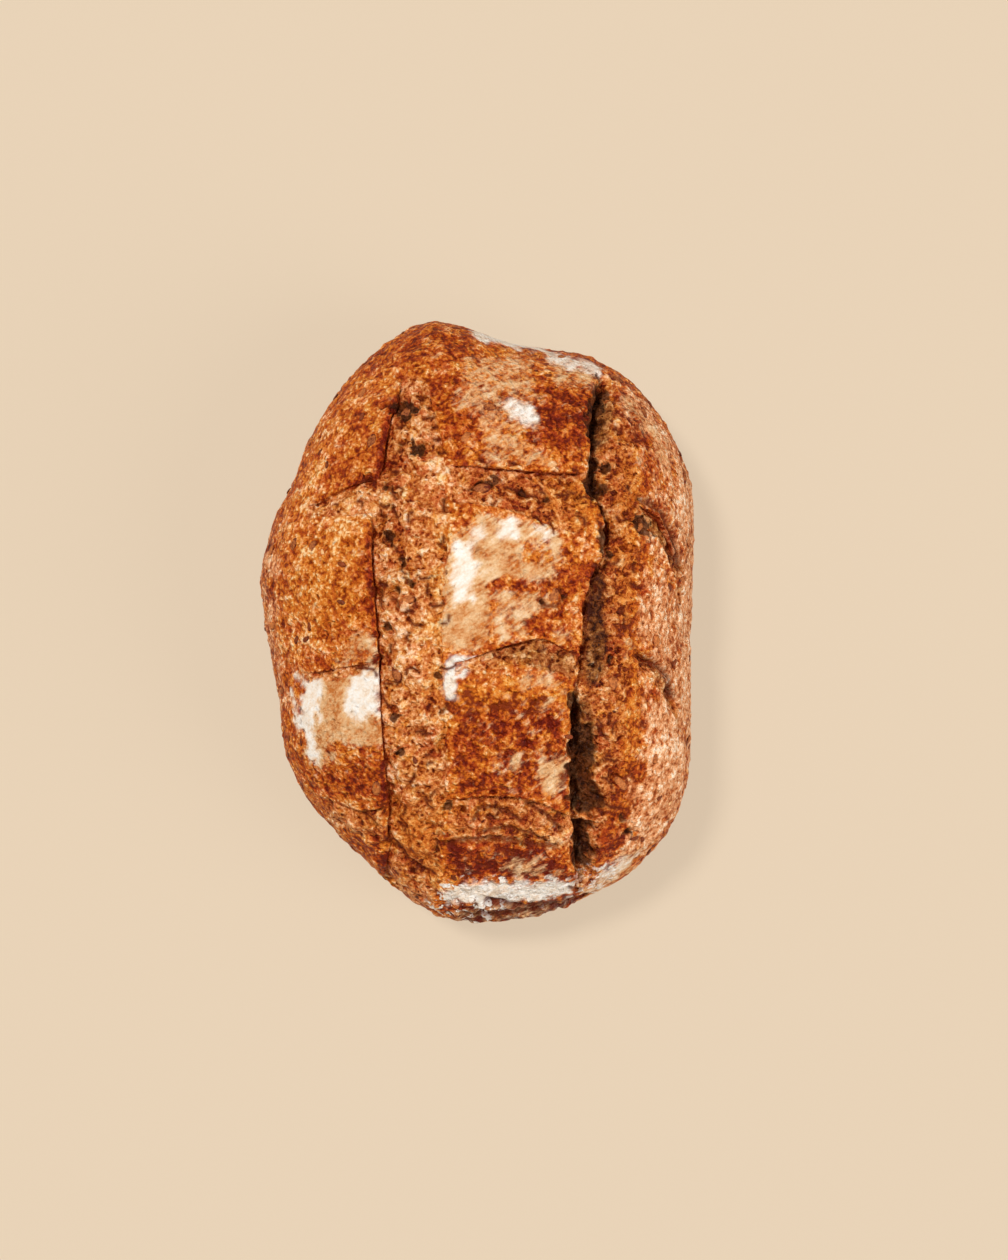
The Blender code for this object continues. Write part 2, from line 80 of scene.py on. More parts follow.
# Outline: its four outermost points, the fullness of the quarters between them, then swells and dents
EAST = (93.9, 40.7)
NORTH = (-18.6, 131.0)
WEST = (-93.0, 18.0)
SOUTH = (-9.0, -130.3)
QUARTER_FULLNESS = (2.23, 1.52, 1.80, 2.60)
SWELLS = (
    (83.6, -7.2, 13.0), (145.0, -1.7, 6.9), (218.7, 5.3, 12.6), (248.2, -3.4, 12.7), (312.2, 12.1, 19.0),
)

# Long cuts, from south to north: where the raised flap ends, and the far edge of the open crumb beside it
LEFT_LIP = (
    (-41, -132), (-44, -80), (-47, -45), (-49, -9), (-51, 35), (-47, 57), (-42, 82), (-37, 97), (-33, 125),
)
LEFT_FAR = (
    (-21, -132), (-21, -107), (-20, -61), (-22, -12), (-19, 42), (-20, 62), (-25, 92), (-29, 104), (-29, 125),
)
RIGHT_LIP = (
    (39, -125), (36, -106), (31, -70), (31, -42), (35, -18), (38, 8), (46, 30), (40, 56), (42, 80), (50, 106),
    (54, 130),
)
RIGHT_FAR = (
    (46, -125), (46, -100), (53, -63), (57, -34), (58, -10), (59, 30), (61, 60), (58, 88), (57, 106),
    (59, 130),
)

# Cross cuts, from west to east
CROSS_LIPS = (
    (
        (-96, 34), (-72, 48), (-60, 53), (-47, 57), (-16, 61), (20, 59), (42, 57), (62, 46), (75, 38),
        (84, 18), (96, 2),
    ),
    (
        (-96, -20), (-77, -24), (-53, -21), (-17, -21), (6, -13), (20, -11), (34, -18), (64, -18), (74, -26),
        (82, -38), (96, -52),
    ),
    (
        (-92, -46), (-72, -72), (-58, -80), (-44, -80), (-16, -77), (4, -75), (20, -78), (36, -85), (60, -80),
        (92, -62),
    ),
)
CROSS_FARS = (
    (
        (-96, 22), (-74, 40), (-60, 41), (-47, 42), (-10, 45), (12, 40), (32, 33), (62, 38), (74, 26),
        (84, 4), (96, -12),
    ),
    (
        (-96, -26), (-77, -28), (-53, -26), (-17, -27), (6, -22), (20, -23), (34, -28), (64, -25), (74, -35),
        (82, -48), (96, -62),
    ),
    (
        (-92, -60), (-72, -84), (-58, -92), (-44, -94), (-16, -94), (4, -95), (20, -96), (36, -98), (60, -96),
        (92, -76),
    ),
)

# Cut sections: how far the flap rises, how deep the crumb starts, how far the flap hangs over, how far back
# the flap's rise reaches, how fast the crumb climbs out of the crease, and the step up to the far crust
LEFT_SECTION = (1.5, 2.6, 1.0, 15.0, 2.6, 0.8)
RIGHT_SECTION = (1.6, 10.5, 2.0, 12.0, 1.15, 0.8)
CROSS_SECTIONS = (
    (1.2, 3.4, 1.0, 9.0, 0.9, 1.4),
    (1.3, 3.0, 1.1, 8.0, 1.1, 0.8),
    (1.3, 3.0, 1.1, 8.0, 1.0, 0.7),
)

# Share of each section that stands at points along its cut
LEFT_SHARE = ((-120, 0), (-100, 0.5), (-82, 1), (35, 1), (41, 0.15), (55, 0.15), (61, 1), (90, 1), (103, 0))
LEFT_CRUMB_SHARE = (
    (-122, 0.2), (-100, 0.7), (-80, 1), (34, 1), (41, 0.4), (55, 0.4), (62, 1), (88, 1), (105, 0),
)
RIGHT_SHARE = (
    (-116, 0), (-110, 0.9), (-91, 0.9), (-85, 0.4), (-79, 0.95), (-44, 0.85), (-32, 0.5), (18, 0.4),
    (30, 0.8), (44, 1), (96, 0.8), (108, 0),
)
CROSS_SHARES = (
    (
        (-80, 0), (-70, 0.4), (-52, 0.5), (-46, 0), (-20, 0), (-14, 0.8), (4, 1), (34, 0.8), (41, 0), (59, 0),
        (67, 0.75), (80, 0.65), (87, 0),
    ),
    (
        (-80, 0), (-72, 0.4), (-58, 0.5), (-52, 0), (-20, 0), (-12, 0.6), (8, 1), (26, 0.8), (36, 0), (58, 0),
        (68, 0.5), (76, 0.55), (85, 0),
    ),
    ((-70, 0), (-60, 0.6), (-48, 0.8), (-42, 0), (-21, 0), (-12, 0.7), (4, 1), (28, 0.9), (37, 0), (96, 0)),
)

# How far the crumb swells and the far crust's edge stands proud, as shares of the step, and how far back the
# latter reaches
CRUMB_SWELL = 0.6
FAR_RIM = 0.5
FAR_REACH = 6.0

# Torn gash at the south end, and how deep the pits in the right cut sink
GASH = ((-43, -97), (-37, -103), (-27, -110))
GASH_DEPTH = 3.0
GASH_HALF_WIDTH = 3.2
PIT_DEPTH = 3.2

# Unevenness of the solid's crust and crumb, then the finer kinds that only this mesh has, as wavelength and
# height, and the fields that the shading reads
CRUST_WAVES = ((34.0, 1.3), (13.0, 0.6), (6.5, 0.3))
CRUMB_WAVES = ((15.0, 1.8), (7.5, 1.3))
FINE_CRUST_WAVES = ((5.5, 0.5), (3.2, 0.36), (1.8, 0.2))
FINE_CRUMB_WAVES = ((6.0, 1.1), (3.4, 0.8), (1.8, 0.3))
CRAG_WAVES = ((7.0, 1.6), (3.2, 1.2))
SHADING_FIELDS = (
    "crumb", "deep", "edge", "white", "tan", "dust", "pale", "brown", "olive", "gold", "crag", "cavity",
    "curl", "pit",
)

# Grid: columns and rows between the loaf's edge and the cuts, on the flaps, and across the open crumb, the
# points round each flap's edge, the lines beside each far edge, the width of a closed cut's lines, how a
# flap's edge curls, the steps that find the lines, the rings below the belly, the height below which a point
# is on the underside, the rings there, and the creases where one strip of skin ends and the next begins
COLUMN_STEPS = (84, 44, 76, 38, 76)
ROW_STEPS = (84, 34, 80, 20, 80, 34, 66)
EDGE_TURNS = (0.0, 0.12, 0.24, 1 / 3, 0.46, 0.62, 0.8, 1.0)
FAR_OFFSETS = (-1.8, -0.9, -0.3, 0.3, 0.9, 1.8)
CLOSED_WIDTH = 2.4
EDGE_CURL = 1.5 * math.pi
PLACE_STEPS = 401
SKIRT_RINGS = 26
UNDERSIDE = 0.01
UNDERSIDE_RINGS = (0.96, 0.88, 0.72, 0.45)
CREASE_STATIONS = ((len(EDGE_TURNS), 0), (2 * len(EDGE_TURNS) + len(FAR_OFFSETS), 0))

# Shading beside the cuts: share at which a cut counts as open, turns of a flap's edge over which it becomes
# crumb, takes the painted crease shade and keeps its painted highlight (painted shade on the left cut),
# how far that painted edge light reaches, the strength and reach of the painted highlight on the far
# crust's ridge, how the painted crease shade and the crumb fade, and how ragged the crumb's edge is
OPEN_SHARE = 0.35
CRUMB_TURN = (0.3, 0.3)
DARK_TURN = (0.2, 0.4)
PAINTED_EDGE_TURN = 0.3
EDGE_REACH = 1.1
PAINTED_RIDGE_HIGHLIGHT = 0.5
RIDGE_REACH = 1.8
CREASE_SHADE = (0.8, 0.22)
CRUMB_FADE = 2.2
CRUMB_RAGGED = ((8.0, 3.0), (3.5, 1.8))

# Camera: the photo's size, the direction towards the camera, its lens, sensor and clipping, millimetres a
# pixel at the belly, and the pixel of the loaf's middle
PHOTO_SIZE = (1008, 1260)
TOWARDS_CAMERA = Vector((-0.12, -0.06, 1.0)).normalized()
LENS = 85.0
SENSOR = 36.0
CLIP = (0.05, 50.0)
MM_PER_PIXEL = 0.4333
LOAF_PIXEL = (478.5, 620.5)

# Room: lights as azimuth, elevation, strength and softness, the world's strength, then the floor's half side,
# the wall round it, the floor's level, the share of light that it gives back and how it glows
KEY_LIGHT = (150, 60, 2.8, 12)
FILL_LIGHT = (-24, 30, 1.85, 40)
WORLD_STRENGTH = 0.38
FLOOR_SIZE = 4.0
WALL_HEIGHT = 3.0
WALL_SIDES = 64
FLOOR_LEVEL = -0.0002
FLOOR_SHADE = 0.2
FLOOR_GLOW = 0.73


def srgb(red, green, blue):
    """A colour given as the screen shows it, as linear light."""
    parts = (value / 255 for value in (red, green, blue))
    return tuple(v / 12.92 if v <= 0.04045 else ((v + 0.055) / 1.055) ** 2.4 for v in parts)


def curve(points):
    """A smooth function through the points."""
    at, value = (np.array(column, float) for column in zip(*sorted(points)))
    steps = np.diff(value) / np.diff(at)
    inner = (steps[1:] + steps[:-1]) / 2
    slopes = np.concatenate([steps[:1], inner, steps[-1:]])

    def read(where):
        where = np.clip(where, at[0], at[-1])
        k = np.clip(np.searchsorted(at, where) - 1, 0, len(at) - 2)
        gap = at[k + 1] - at[k]
        u = (where - at[k]) / gap
        start = value[k] * (1 + 2 * u) * (1 - u) ** 2 + slopes[k] * gap * u * (1 - u) ** 2
        end = value[k + 1] * (3 - 2 * u) * u**2 - slopes[k + 1] * gap * u**2 * (1 - u)
        return start + end

    return read


def plan_line(points):
    """The line's x as a function of y."""
    return curve([(y, x) for x, y in points])


def share(points):
    """A share between 0 and 1 that eases from point to point."""
    at, value = (np.array(column, float) for column in zip(*points))

    def read(where):
        k = np.clip(np.searchsorted(at, where) - 1, 0, len(at) - 2)
        u = np.clip((where - at[k]) / (at[k + 1] - at[k]), 0, 1)
        return value[k] + (value[k + 1] - value[k]) * u * u * (3 - 2 * u)

    return read


def outline_table(count=1440):
    """Angles round the crown's plan point, and the outline's distance from it at each."""
    tips = (EAST, NORTH, WEST, SOUTH)
    signs = ((1, 1), (-1, 1), (-1, -1), (1, -1))
    turn = np.linspace(0, math.pi / 2, count // 4, endpoint=False)
    parts = []
    for k, (fullness, (sx, sy)) in enumerate(zip(QUARTER_FULLNESS, signs)):
        first, second = tips[k], tips[(k + 1) % 4]
        side, end = (first, second) if k % 2 == 0 else (second, first)
        half_x, half_y = abs(side[0] - end[0]), abs(end[1] - side[1])
        t = turn if k % 2 == 0 else math.pi / 2 - turn
        cos, sin = np.maximum(np.cos(t), 0), np.maximum(np.sin(t), 0)
        x = end[0] + sx * half_x * cos ** (2 / fullness) - CROWN[0]
        y = side[1] + sy * half_y * sin ** (2 / fullness) - CROWN[1]
        parts.append(np.stack([np.arctan2(y, x) % (2 * math.pi), np.hypot(x, y)], 1))
    table = np.concatenate(parts)
    angles = np.linspace(0, 2 * math.pi, count, endpoint=False)
    order = np.argsort(table[:, 0])
    reach = np.interp(angles, table[order, 0], table[order, 1], period=2 * math.pi)
    for at, height, spread in SWELLS:
        away = (angles - math.radians(at) + math.pi) % (2 * math.pi) - math.pi
        reach = reach + height * np.exp(-((away / math.radians(spread)) ** 2))
    return angles, reach


ANGLES, REACH = outline_table()
REACH_SLOPE = (np.roll(REACH, -1) - np.roll(REACH, 1)) / (2 * ANGLES[1])


def outline(theta):
    """The outline's distance at each angle, its outward normal, and the cosine between the two."""
    reach = np.interp(theta, ANGLES, REACH, period=2 * math.pi)
    slope = np.interp(theta, ANGLES, REACH_SLOPE, period=2 * math.pi)
    cos, sin = np.cos(theta), np.sin(theta)
    normal = np.stack([reach * cos + slope * sin, reach * sin - slope * cos], -1)
    size = np.hypot(reach, slope)
    return reach, normal / size[..., None], reach / size


def dome(theta, rho):
    """Points and normals of the plain loaf: rho is 0 at the crown, 1 at the belly, 2 at the base's edge."""
    reach, side, lean = outline(theta)
    climb = np.clip(rho, 1e-4, 1) * math.pi / 2
    r = np.sin(climb) ** (2 / DOME_FULLNESS)
    z = BELLY + (HEIGHT - BELLY) * np.maximum(np.cos(climb), 0) ** (2 / DOME_RISE)
    run = (2 / DOME_FULLNESS) * np.sin(climb) ** (2 / DOME_FULLNESS - 1) * np.cos(climb)
    fall = (2 / DOME_RISE) * np.maximum(np.cos(climb), 0) ** (2 / DOME_RISE - 1) * np.sin(climb)
    out, up = (HEIGHT - BELLY) * fall / (reach * lean), run
    tuck = np.clip(rho - 1, 0, 1) * math.pi / 2
    below = np.asarray(rho) > 1
    r = np.where(below, 1 - BASE_INSET * (1 - np.cos(tuck)) / reach, r)
    z = np.where(below, BELLY * (1 - np.sin(tuck)), z)
    out = np.where(below, np.cos(tuck) / BASE_INSET, out)
    up = np.where(below, -np.sin(tuck) / BELLY, up)
    points = np.stack([CROWN[0] + r * reach * np.cos(theta), CROWN[1] + r * reach * np.sin(theta), z], -1)
    normals = np.concatenate([side * out[..., None], up[..., None]], -1)
    return points, normals / np.linalg.norm(normals, axis=-1, keepdims=True)


def square_to_disc(s, t):
    """(theta, rho) of a point of the square -1..1, whose four corners lie on the belly line."""
    u = s * np.sqrt(1 - t * t / 2)
    v = t * np.sqrt(1 - s * s / 2)
    return np.arctan2(v * NORTH[1], u * EAST[0]), np.hypot(u, v)


def crossings(gap, along):
    """Where each row of gap, which rises from below 0 to above 0, crosses 0, read on the scale along."""
    after = np.clip((gap > 0).argmax(1), 1, gap.shape[1] - 1)
    rows = np.arange(len(gap))
    low, high = gap[rows, after - 1], gap[rows, after]
    part = np.clip(-low / (high - low), 0, 1)
    return along[after - 1] + part * (along[after] - along[after - 1])


class Cut:
    """One cut: its flap's edge, the far edge of its crumb, its section, its shares, its flap's side, and how
    strongly its flap's edge is painted light as a highlight, or below 0 painted dark as shade."""

    def __init__(self, lip, far, section, flap_share, crumb_share, flap_side, painted_edge_light):
        self.lip, self.far, self.painted_edge_light = lip, far, painted_edge_light
        self.lift, self.drop, self.hang, self.reach, self.climb, self.step = section
        self.flap_share, self.crumb_share = flap_share, crumb_share
        self.flap_side = flap_side

    def edge_line(self, turn, along):
        """The flap's edge in plan: turn is 0 on the flap, 1/3 at its tip and 1 in the crease."""
        flat = (turn - 0.5) * CLOSED_WIDTH
        curled = self.hang * math.sin(EDGE_CURL * turn)
        part = self.flap_share(along)
        return self.lip(along) - self.flap_side * (flat * (1 - part) + curled * part)

    def far_line(self, offset, along):
        return self.far(along) - self.flap_side * offset

    def edge_height(self, turn, along):
        top = self.lift * self.flap_share(along)
        bottom = -self.drop * self.crumb_share(along)
        return top + (bottom - top) * (1 - math.cos(math.pi * turn)) / 2

    def flap_height(self, away, along):
        return self.lift * self.flap_share(along) * np.exp(-np.maximum(away, 0) / self.reach)

    def crumb_height(self, away, along):
        """The crumb rises from the crease, swells past the middle and ends a step below the far crust."""
        width = np.abs(self.far(along) - self.lip(along))
        f = np.clip(away / width, 0, 1)
        rise = -self.drop * (1 - f) ** self.climb
        swell = self.step * (CRUMB_SWELL * np.sin(math.pi * f) - f**3)
        return (rise + swell) * self.crumb_share(along)

    def far_height(self, beyond, along):
        """The far crust's edge stands a little proud and sinks back away from the cut."""
        rim = FAR_RIM * self.step * self.crumb_share(along)
        return rim * np.exp(-np.maximum(beyond, 0) / FAR_REACH)


def make_cuts():
    """Long cuts run along y with their flaps to the west, cross cuts along x with theirs to the north."""
    left_shares = share(LEFT_SHARE), share(LEFT_CRUMB_SHARE)
    right_shares = share(RIGHT_SHARE), share(RIGHT_SHARE)
    longs = [
        Cut(plan_line(LEFT_LIP), plan_line(LEFT_FAR), LEFT_SECTION, *left_shares, -1, -1.0),
        Cut(plan_line(RIGHT_LIP), plan_line(RIGHT_FAR), RIGHT_SECTION, *right_shares, -1, 1.0),
    ]
    crosses = [
        Cut(curve(lip), curve(far), section, share(part), share(part), 1, 0.8)
        for lip, far, section, part in zip(CROSS_LIPS, CROSS_FARS, CROSS_SECTIONS, CROSS_SHARES)
    ]
    return longs, crosses


def stations(cuts, steps):
    """Grid lines at the border and at each cut's edges, each as (kind, cut, value, steps to the next)."""
    lines = [("border", None, -1.0, steps[0])]
    for cut, across, after in zip(cuts, steps[1::2], steps[2::2]):
        lines += [("edge", cut, turn, 1) for turn in EDGE_TURNS[:-1]]
        lines.append(("edge", cut, EDGE_TURNS[-1], across))
        lines += [("far", cut, offset, 1) for offset in FAR_OFFSETS[:-1]]
        lines.append(("far", cut, FAR_OFFSETS[-1], after))
    lines.append(("border", None, 1.0, 0))
    return lines


def spread_lines(lines, place):
    """Positions of all grid lines from those of the stations, and each line's station."""
    known = [place(line) for line in lines]
    rows, kinds = [], []
    for k, line in enumerate(lines[:-1]):
        for n in range(line[3]):
            part = n / line[3]
            rows.append(known[k] * (1 - part) + known[k + 1] * part)
            kinds.append((k, n))
    rows.append(known[-1])
    kinds.append((len(lines) - 1, 0))
    return np.array(rows), kinds


def grid_places(longs, crosses):
    """The (s, t) of each grid point, and which station each column and row belongs to."""
    fine = np.linspace(-1, 1, PLACE_STEPS)

    def places(line, across, along, border):
        kind, cut, value, _ = line
        if kind == "border":
            return np.full(len(across), border * value)
        target = cut.edge_line(value, along) if kind == "edge" else cut.far_line(value, along)
        return crossings(across - target, fine)

    x, y, _ = np.moveaxis(dome(*square_to_disc(fine[None, :], fine[:, None]))[0], -1, 0)
    columns, column_kinds = spread_lines(stations(longs, COLUMN_STEPS), lambda line: places(line, x, y, 1))
    x, y, _ = np.moveaxis(dome(*square_to_disc(columns, fine[None, :]))[0], -1, 0)
    rows, row_kinds = spread_lines(stations(crosses, ROW_STEPS), lambda line: places(line, y, x, -1))
    t = rows.T
    s = np.array([np.interp(t[i], fine, columns[i]) for i in range(len(columns))])
    return s, t, column_kinds, row_kinds


def heights_over(cuts, kinds, across, along, rough):
    """Height over the plain loaf that the cuts of one direction give, how much of each point is crumb, how
    much painted crease shade it takes, and how much painted highlight, or below 0 painted shade, its place at
    a cut's edge gives it."""
    height, crumb, deep, edge = (np.zeros(across.shape) for _ in range(4))
    for c, cut in enumerate(cuts):
        first = 1 + c * (len(EDGE_TURNS) + len(FAR_OFFSETS))
        crease = first + len(EDGE_TURNS) - 1
        last_crumb = crease + len(FAR_OFFSETS) // 2
        for k, (station, n) in enumerate(kinds):
            away = (cut.lip(along[k]) - across[k]) * cut.flap_side
            width = np.abs(cut.far(along[k]) - cut.lip(along[k]))
            open_part = ease(cut.crumb_share(along[k]) / OPEN_SHARE)
            flap_part = np.minimum(cut.flap_share(along[k]), open_part)
            if station < first:
                height[k] += cut.flap_height(-away, along[k])
                # Painted highlight, or painted shade where it is below 0, on the flap just behind its edge
                edge[k] += cut.painted_edge_light * flap_part * np.exp(away / EDGE_REACH) * (away < 0)
                continue
            if station <= crease and n == 0:
                turn = EDGE_TURNS[station - first]
                height[k] += cut.edge_height(turn, along[k])
                crumb[k] = np.maximum(crumb[k], open_part * ease((turn - CRUMB_TURN[0]) / CRUMB_TURN[1]))
                # deep: share of the painted crease shade, which starts part way round the flap's edge
                deep[k] = np.maximum(deep[k], flap_part * ease((turn - DARK_TURN[0]) / DARK_TURN[1]))
                # The same painted light over the first turns of the flap's edge
                edge[k] += cut.painted_edge_light * flap_part * (1 - ease(turn / PAINTED_EDGE_TURN))
                continue
            ragged = ease((width - away + rough[k]) / CRUMB_FADE + 0.5)
            crumb[k] = np.maximum(crumb[k], open_part * ragged)
            if station <= last_crumb:
                height[k] += cut.crumb_height(away, along[k])
                # Painted crease shade, fading across the crumb away from the crease
                shade = CREASE_SHADE[0] + CREASE_SHADE[1] * cut.drop
                deep[k] = np.maximum(deep[k], flap_part * np.exp(-((np.maximum(away, 0) / shade) ** 2)))
            else:
                height[k] += cut.far_height(away - width, along[k])
                # Painted highlight along the far crust's raised ridge
                beyond = (away - width - RIDGE_REACH) / RIDGE_REACH
                edge[k] += PAINTED_RIDGE_HIGHLIGHT * open_part * np.exp(-(beyond**2))
    return height, crumb, deep, edge


def to_segment(x, y, start, end):
    """Distance in plan from each point to the straight line between start and end."""
    (ax, ay), (bx, by) = start, end
    part = ((x - ax) * (bx - ax) + (y - ay) * (by - ay)) / ((bx - ax) ** 2 + (by - ay) ** 2)
    part = np.clip(part, 0, 1)
    return np.hypot(x - ax - part * (bx - ax), y - ay - part * (by - ay))


def groove(x, y, half_width, line):
    """1 on the line through the plan points, fading to 0 beside it."""
    away = np.min([to_segment(x, y, start, end) for start, end in zip(line, line[1:])], axis=0)
    return np.exp(-((away / half_width) ** 2))


def waves(points, table):
    """Sum of smooth random waves at the points."""
    flat = points.reshape(-1, 3)
    height = np.zeros(len(flat))
    for n, (length, size) in enumerate(table):
        shift = Vector((17.0 * n, 5.0 * n, 31.0 * n))
        height += size * np.array([noise.noise(Vector(p) / length + shift) for p in flat])
    return height.reshape(points.shape[:-1])


# Small forms: blisters and cobbles on the crust, pits, lumps and hollows in the crumb, as (count, radii,
# heights), curled strands in the crumb as (count, lengths, bend, half width), and the share of forms low down
BLISTERS = (13000, (0.7, 1.7), (0.1, 0.42))
COBBLES = (4200, (1.7, 3.3), (0.35, 1.1))
PITS = (5000, (0.8, 1.8), (0.3, 1.0))
LUMPS = (700, (2.0, 4.0), (0.5, 1.4))
HOLLOWS = (260, (1.6, 3.0), (1.0, 2.6))
CURLS = (560, (3.0, 7.0), (0.3, 2.6), 0.75)
CURL_DEPTH = 0.8
SIDE_SHARE = 0.4

# How they meet: the random draws' seed, the cobbles' least height, how much thick and thin flour smooth them,
# how craggy pits are, the height at which bumps are fully lighter and hollows fully darker in colour, partly
# the crust's own tone and partly painted highlight and shade, how far past it that goes, and where a place
# counts as crumb for each kind
RELIEF_SEED = 5
COBBLE_LEAST = 0.35
FLOUR_SMOOTHS = (0.85, 0.4)
PIT_CRAGS = 0.8
CAVITY_HEIGHT = 0.6
CAVITY_LIMIT = 1.5
IN_CRUMB = {"pits": 0.5, "hollows": 0.6, "curls": 0.4}

# Grooves that can be told apart in the photo: half width, depth and plan points
GROOVES = (
    (1.7, 2.6, ((63, 48), (69, 46), (74, 42), (78, 36), (81, 29), (84, 21))),
    (1.6, 2.2, ((62, -18), (68, -20), (73, -23), (77, -28), (79, -35))),
    (1.0, 1.6, ((-20, -95.5), (-9, -94), (3, -94), (16, -96.7), (27, -97))),
    (0.9, 1.0, ((-8, -86), (-6, -82), (-1, -81), (6, -83), (12, -87))),
    (0.9, 1.0, ((-4, -91), (5, -89.5), (16, -92), (23, -94.6))),
    (0.9, 1.2, ((14, -79.6), (23, -84.6), (29, -90.5))),
    (1.1, 2.0, ((0, -121), (8, -122.3), (19, -122.9), (33, -123), (46, -120))),
    (1.0, 1.6, ((-10, -125), (-3, -127), (7, -127), (15, -125), (24, -124.5))),
    (1.0, 1.6, ((35, -114.4), (40, -116.5))),
    (0.8, 0.9, ((18, 4.5), (21, 2), (25, 2), (28, 5.4), (27, 9.5))),
    (1.2, 1.2, ((-41, -96), (-36, -100), (-32, -104), (-28, -108))),
)
# How strongly a groove is painted dark as shade
GROOVE_SHADE = 0.9

# Holes that can be told apart in the photo: plan point, radius and depth. Then how ragged they are, how far
# past its radius each one's wall reaches and how steep it is, and the depth at which a hole is fully painted
# dark as shade
HOLES = (
    (-35.6, 86.5, 4.6, 2.8), (-31.0, 68.2, 2.8, 3.4), (-43.6, 31.5, 2.4, 2.2), (-38.1, 22.1, 1.5, 1.8),
    (-37.6, 19.5, 1.4, 1.8), (-34.0, 11.0, 1.8, 1.6), (-41.6, -43.7, 1.9, 2.0), (-23.7, -26.3, 1.8, 1.8),
    (-38.6, -57.7, 1.9, 1.8), (-44.0, 52.0, 2.6, 1.4), (-6.5, 52.5, 2.2, 1.6), (1.0, 55.5, 2.6, 1.2),
    (63.8, 36.4, 3.8, 2.6), (53.0, 98.0, 2.6, 2.4), (49.0, 84.0, 2.4, 2.2), (50.5, 63.0, 2.6, 2.4),
    (49.0, 53.0, 2.2, 2.2), (-44.0, -6.3, 2.2, 1.8), (-39.8, 9.5, 1.8, 1.8), (-2.0, 53.0, 2.4, 1.8),
    (12.0, 50.0, 2.6, 1.8), (22.0, 47.0, 2.0, 1.6), (-18.7, -80.1, 1.9, 2.0), (59.5, -91.7, 2.2, 1.8),
    (56.0, -86.0, 1.8, 1.6), (51.0, 24.0, 1.8, 2.4), (87.7, 33.0, 1.4, 1.2), (19.2, 3.6, 1.5, 1.6),
    (28.6, 6.0, 1.3, 1.4), (50.0, -20.0, 1.8, 2.0),
)
HOLE_RAGGED = ((2.6, 0.55), (1.4, 0.3))
HOLE_REACH = 1.25
HOLE_STEEP = 0.7
HOLE_SHADE = 1.8
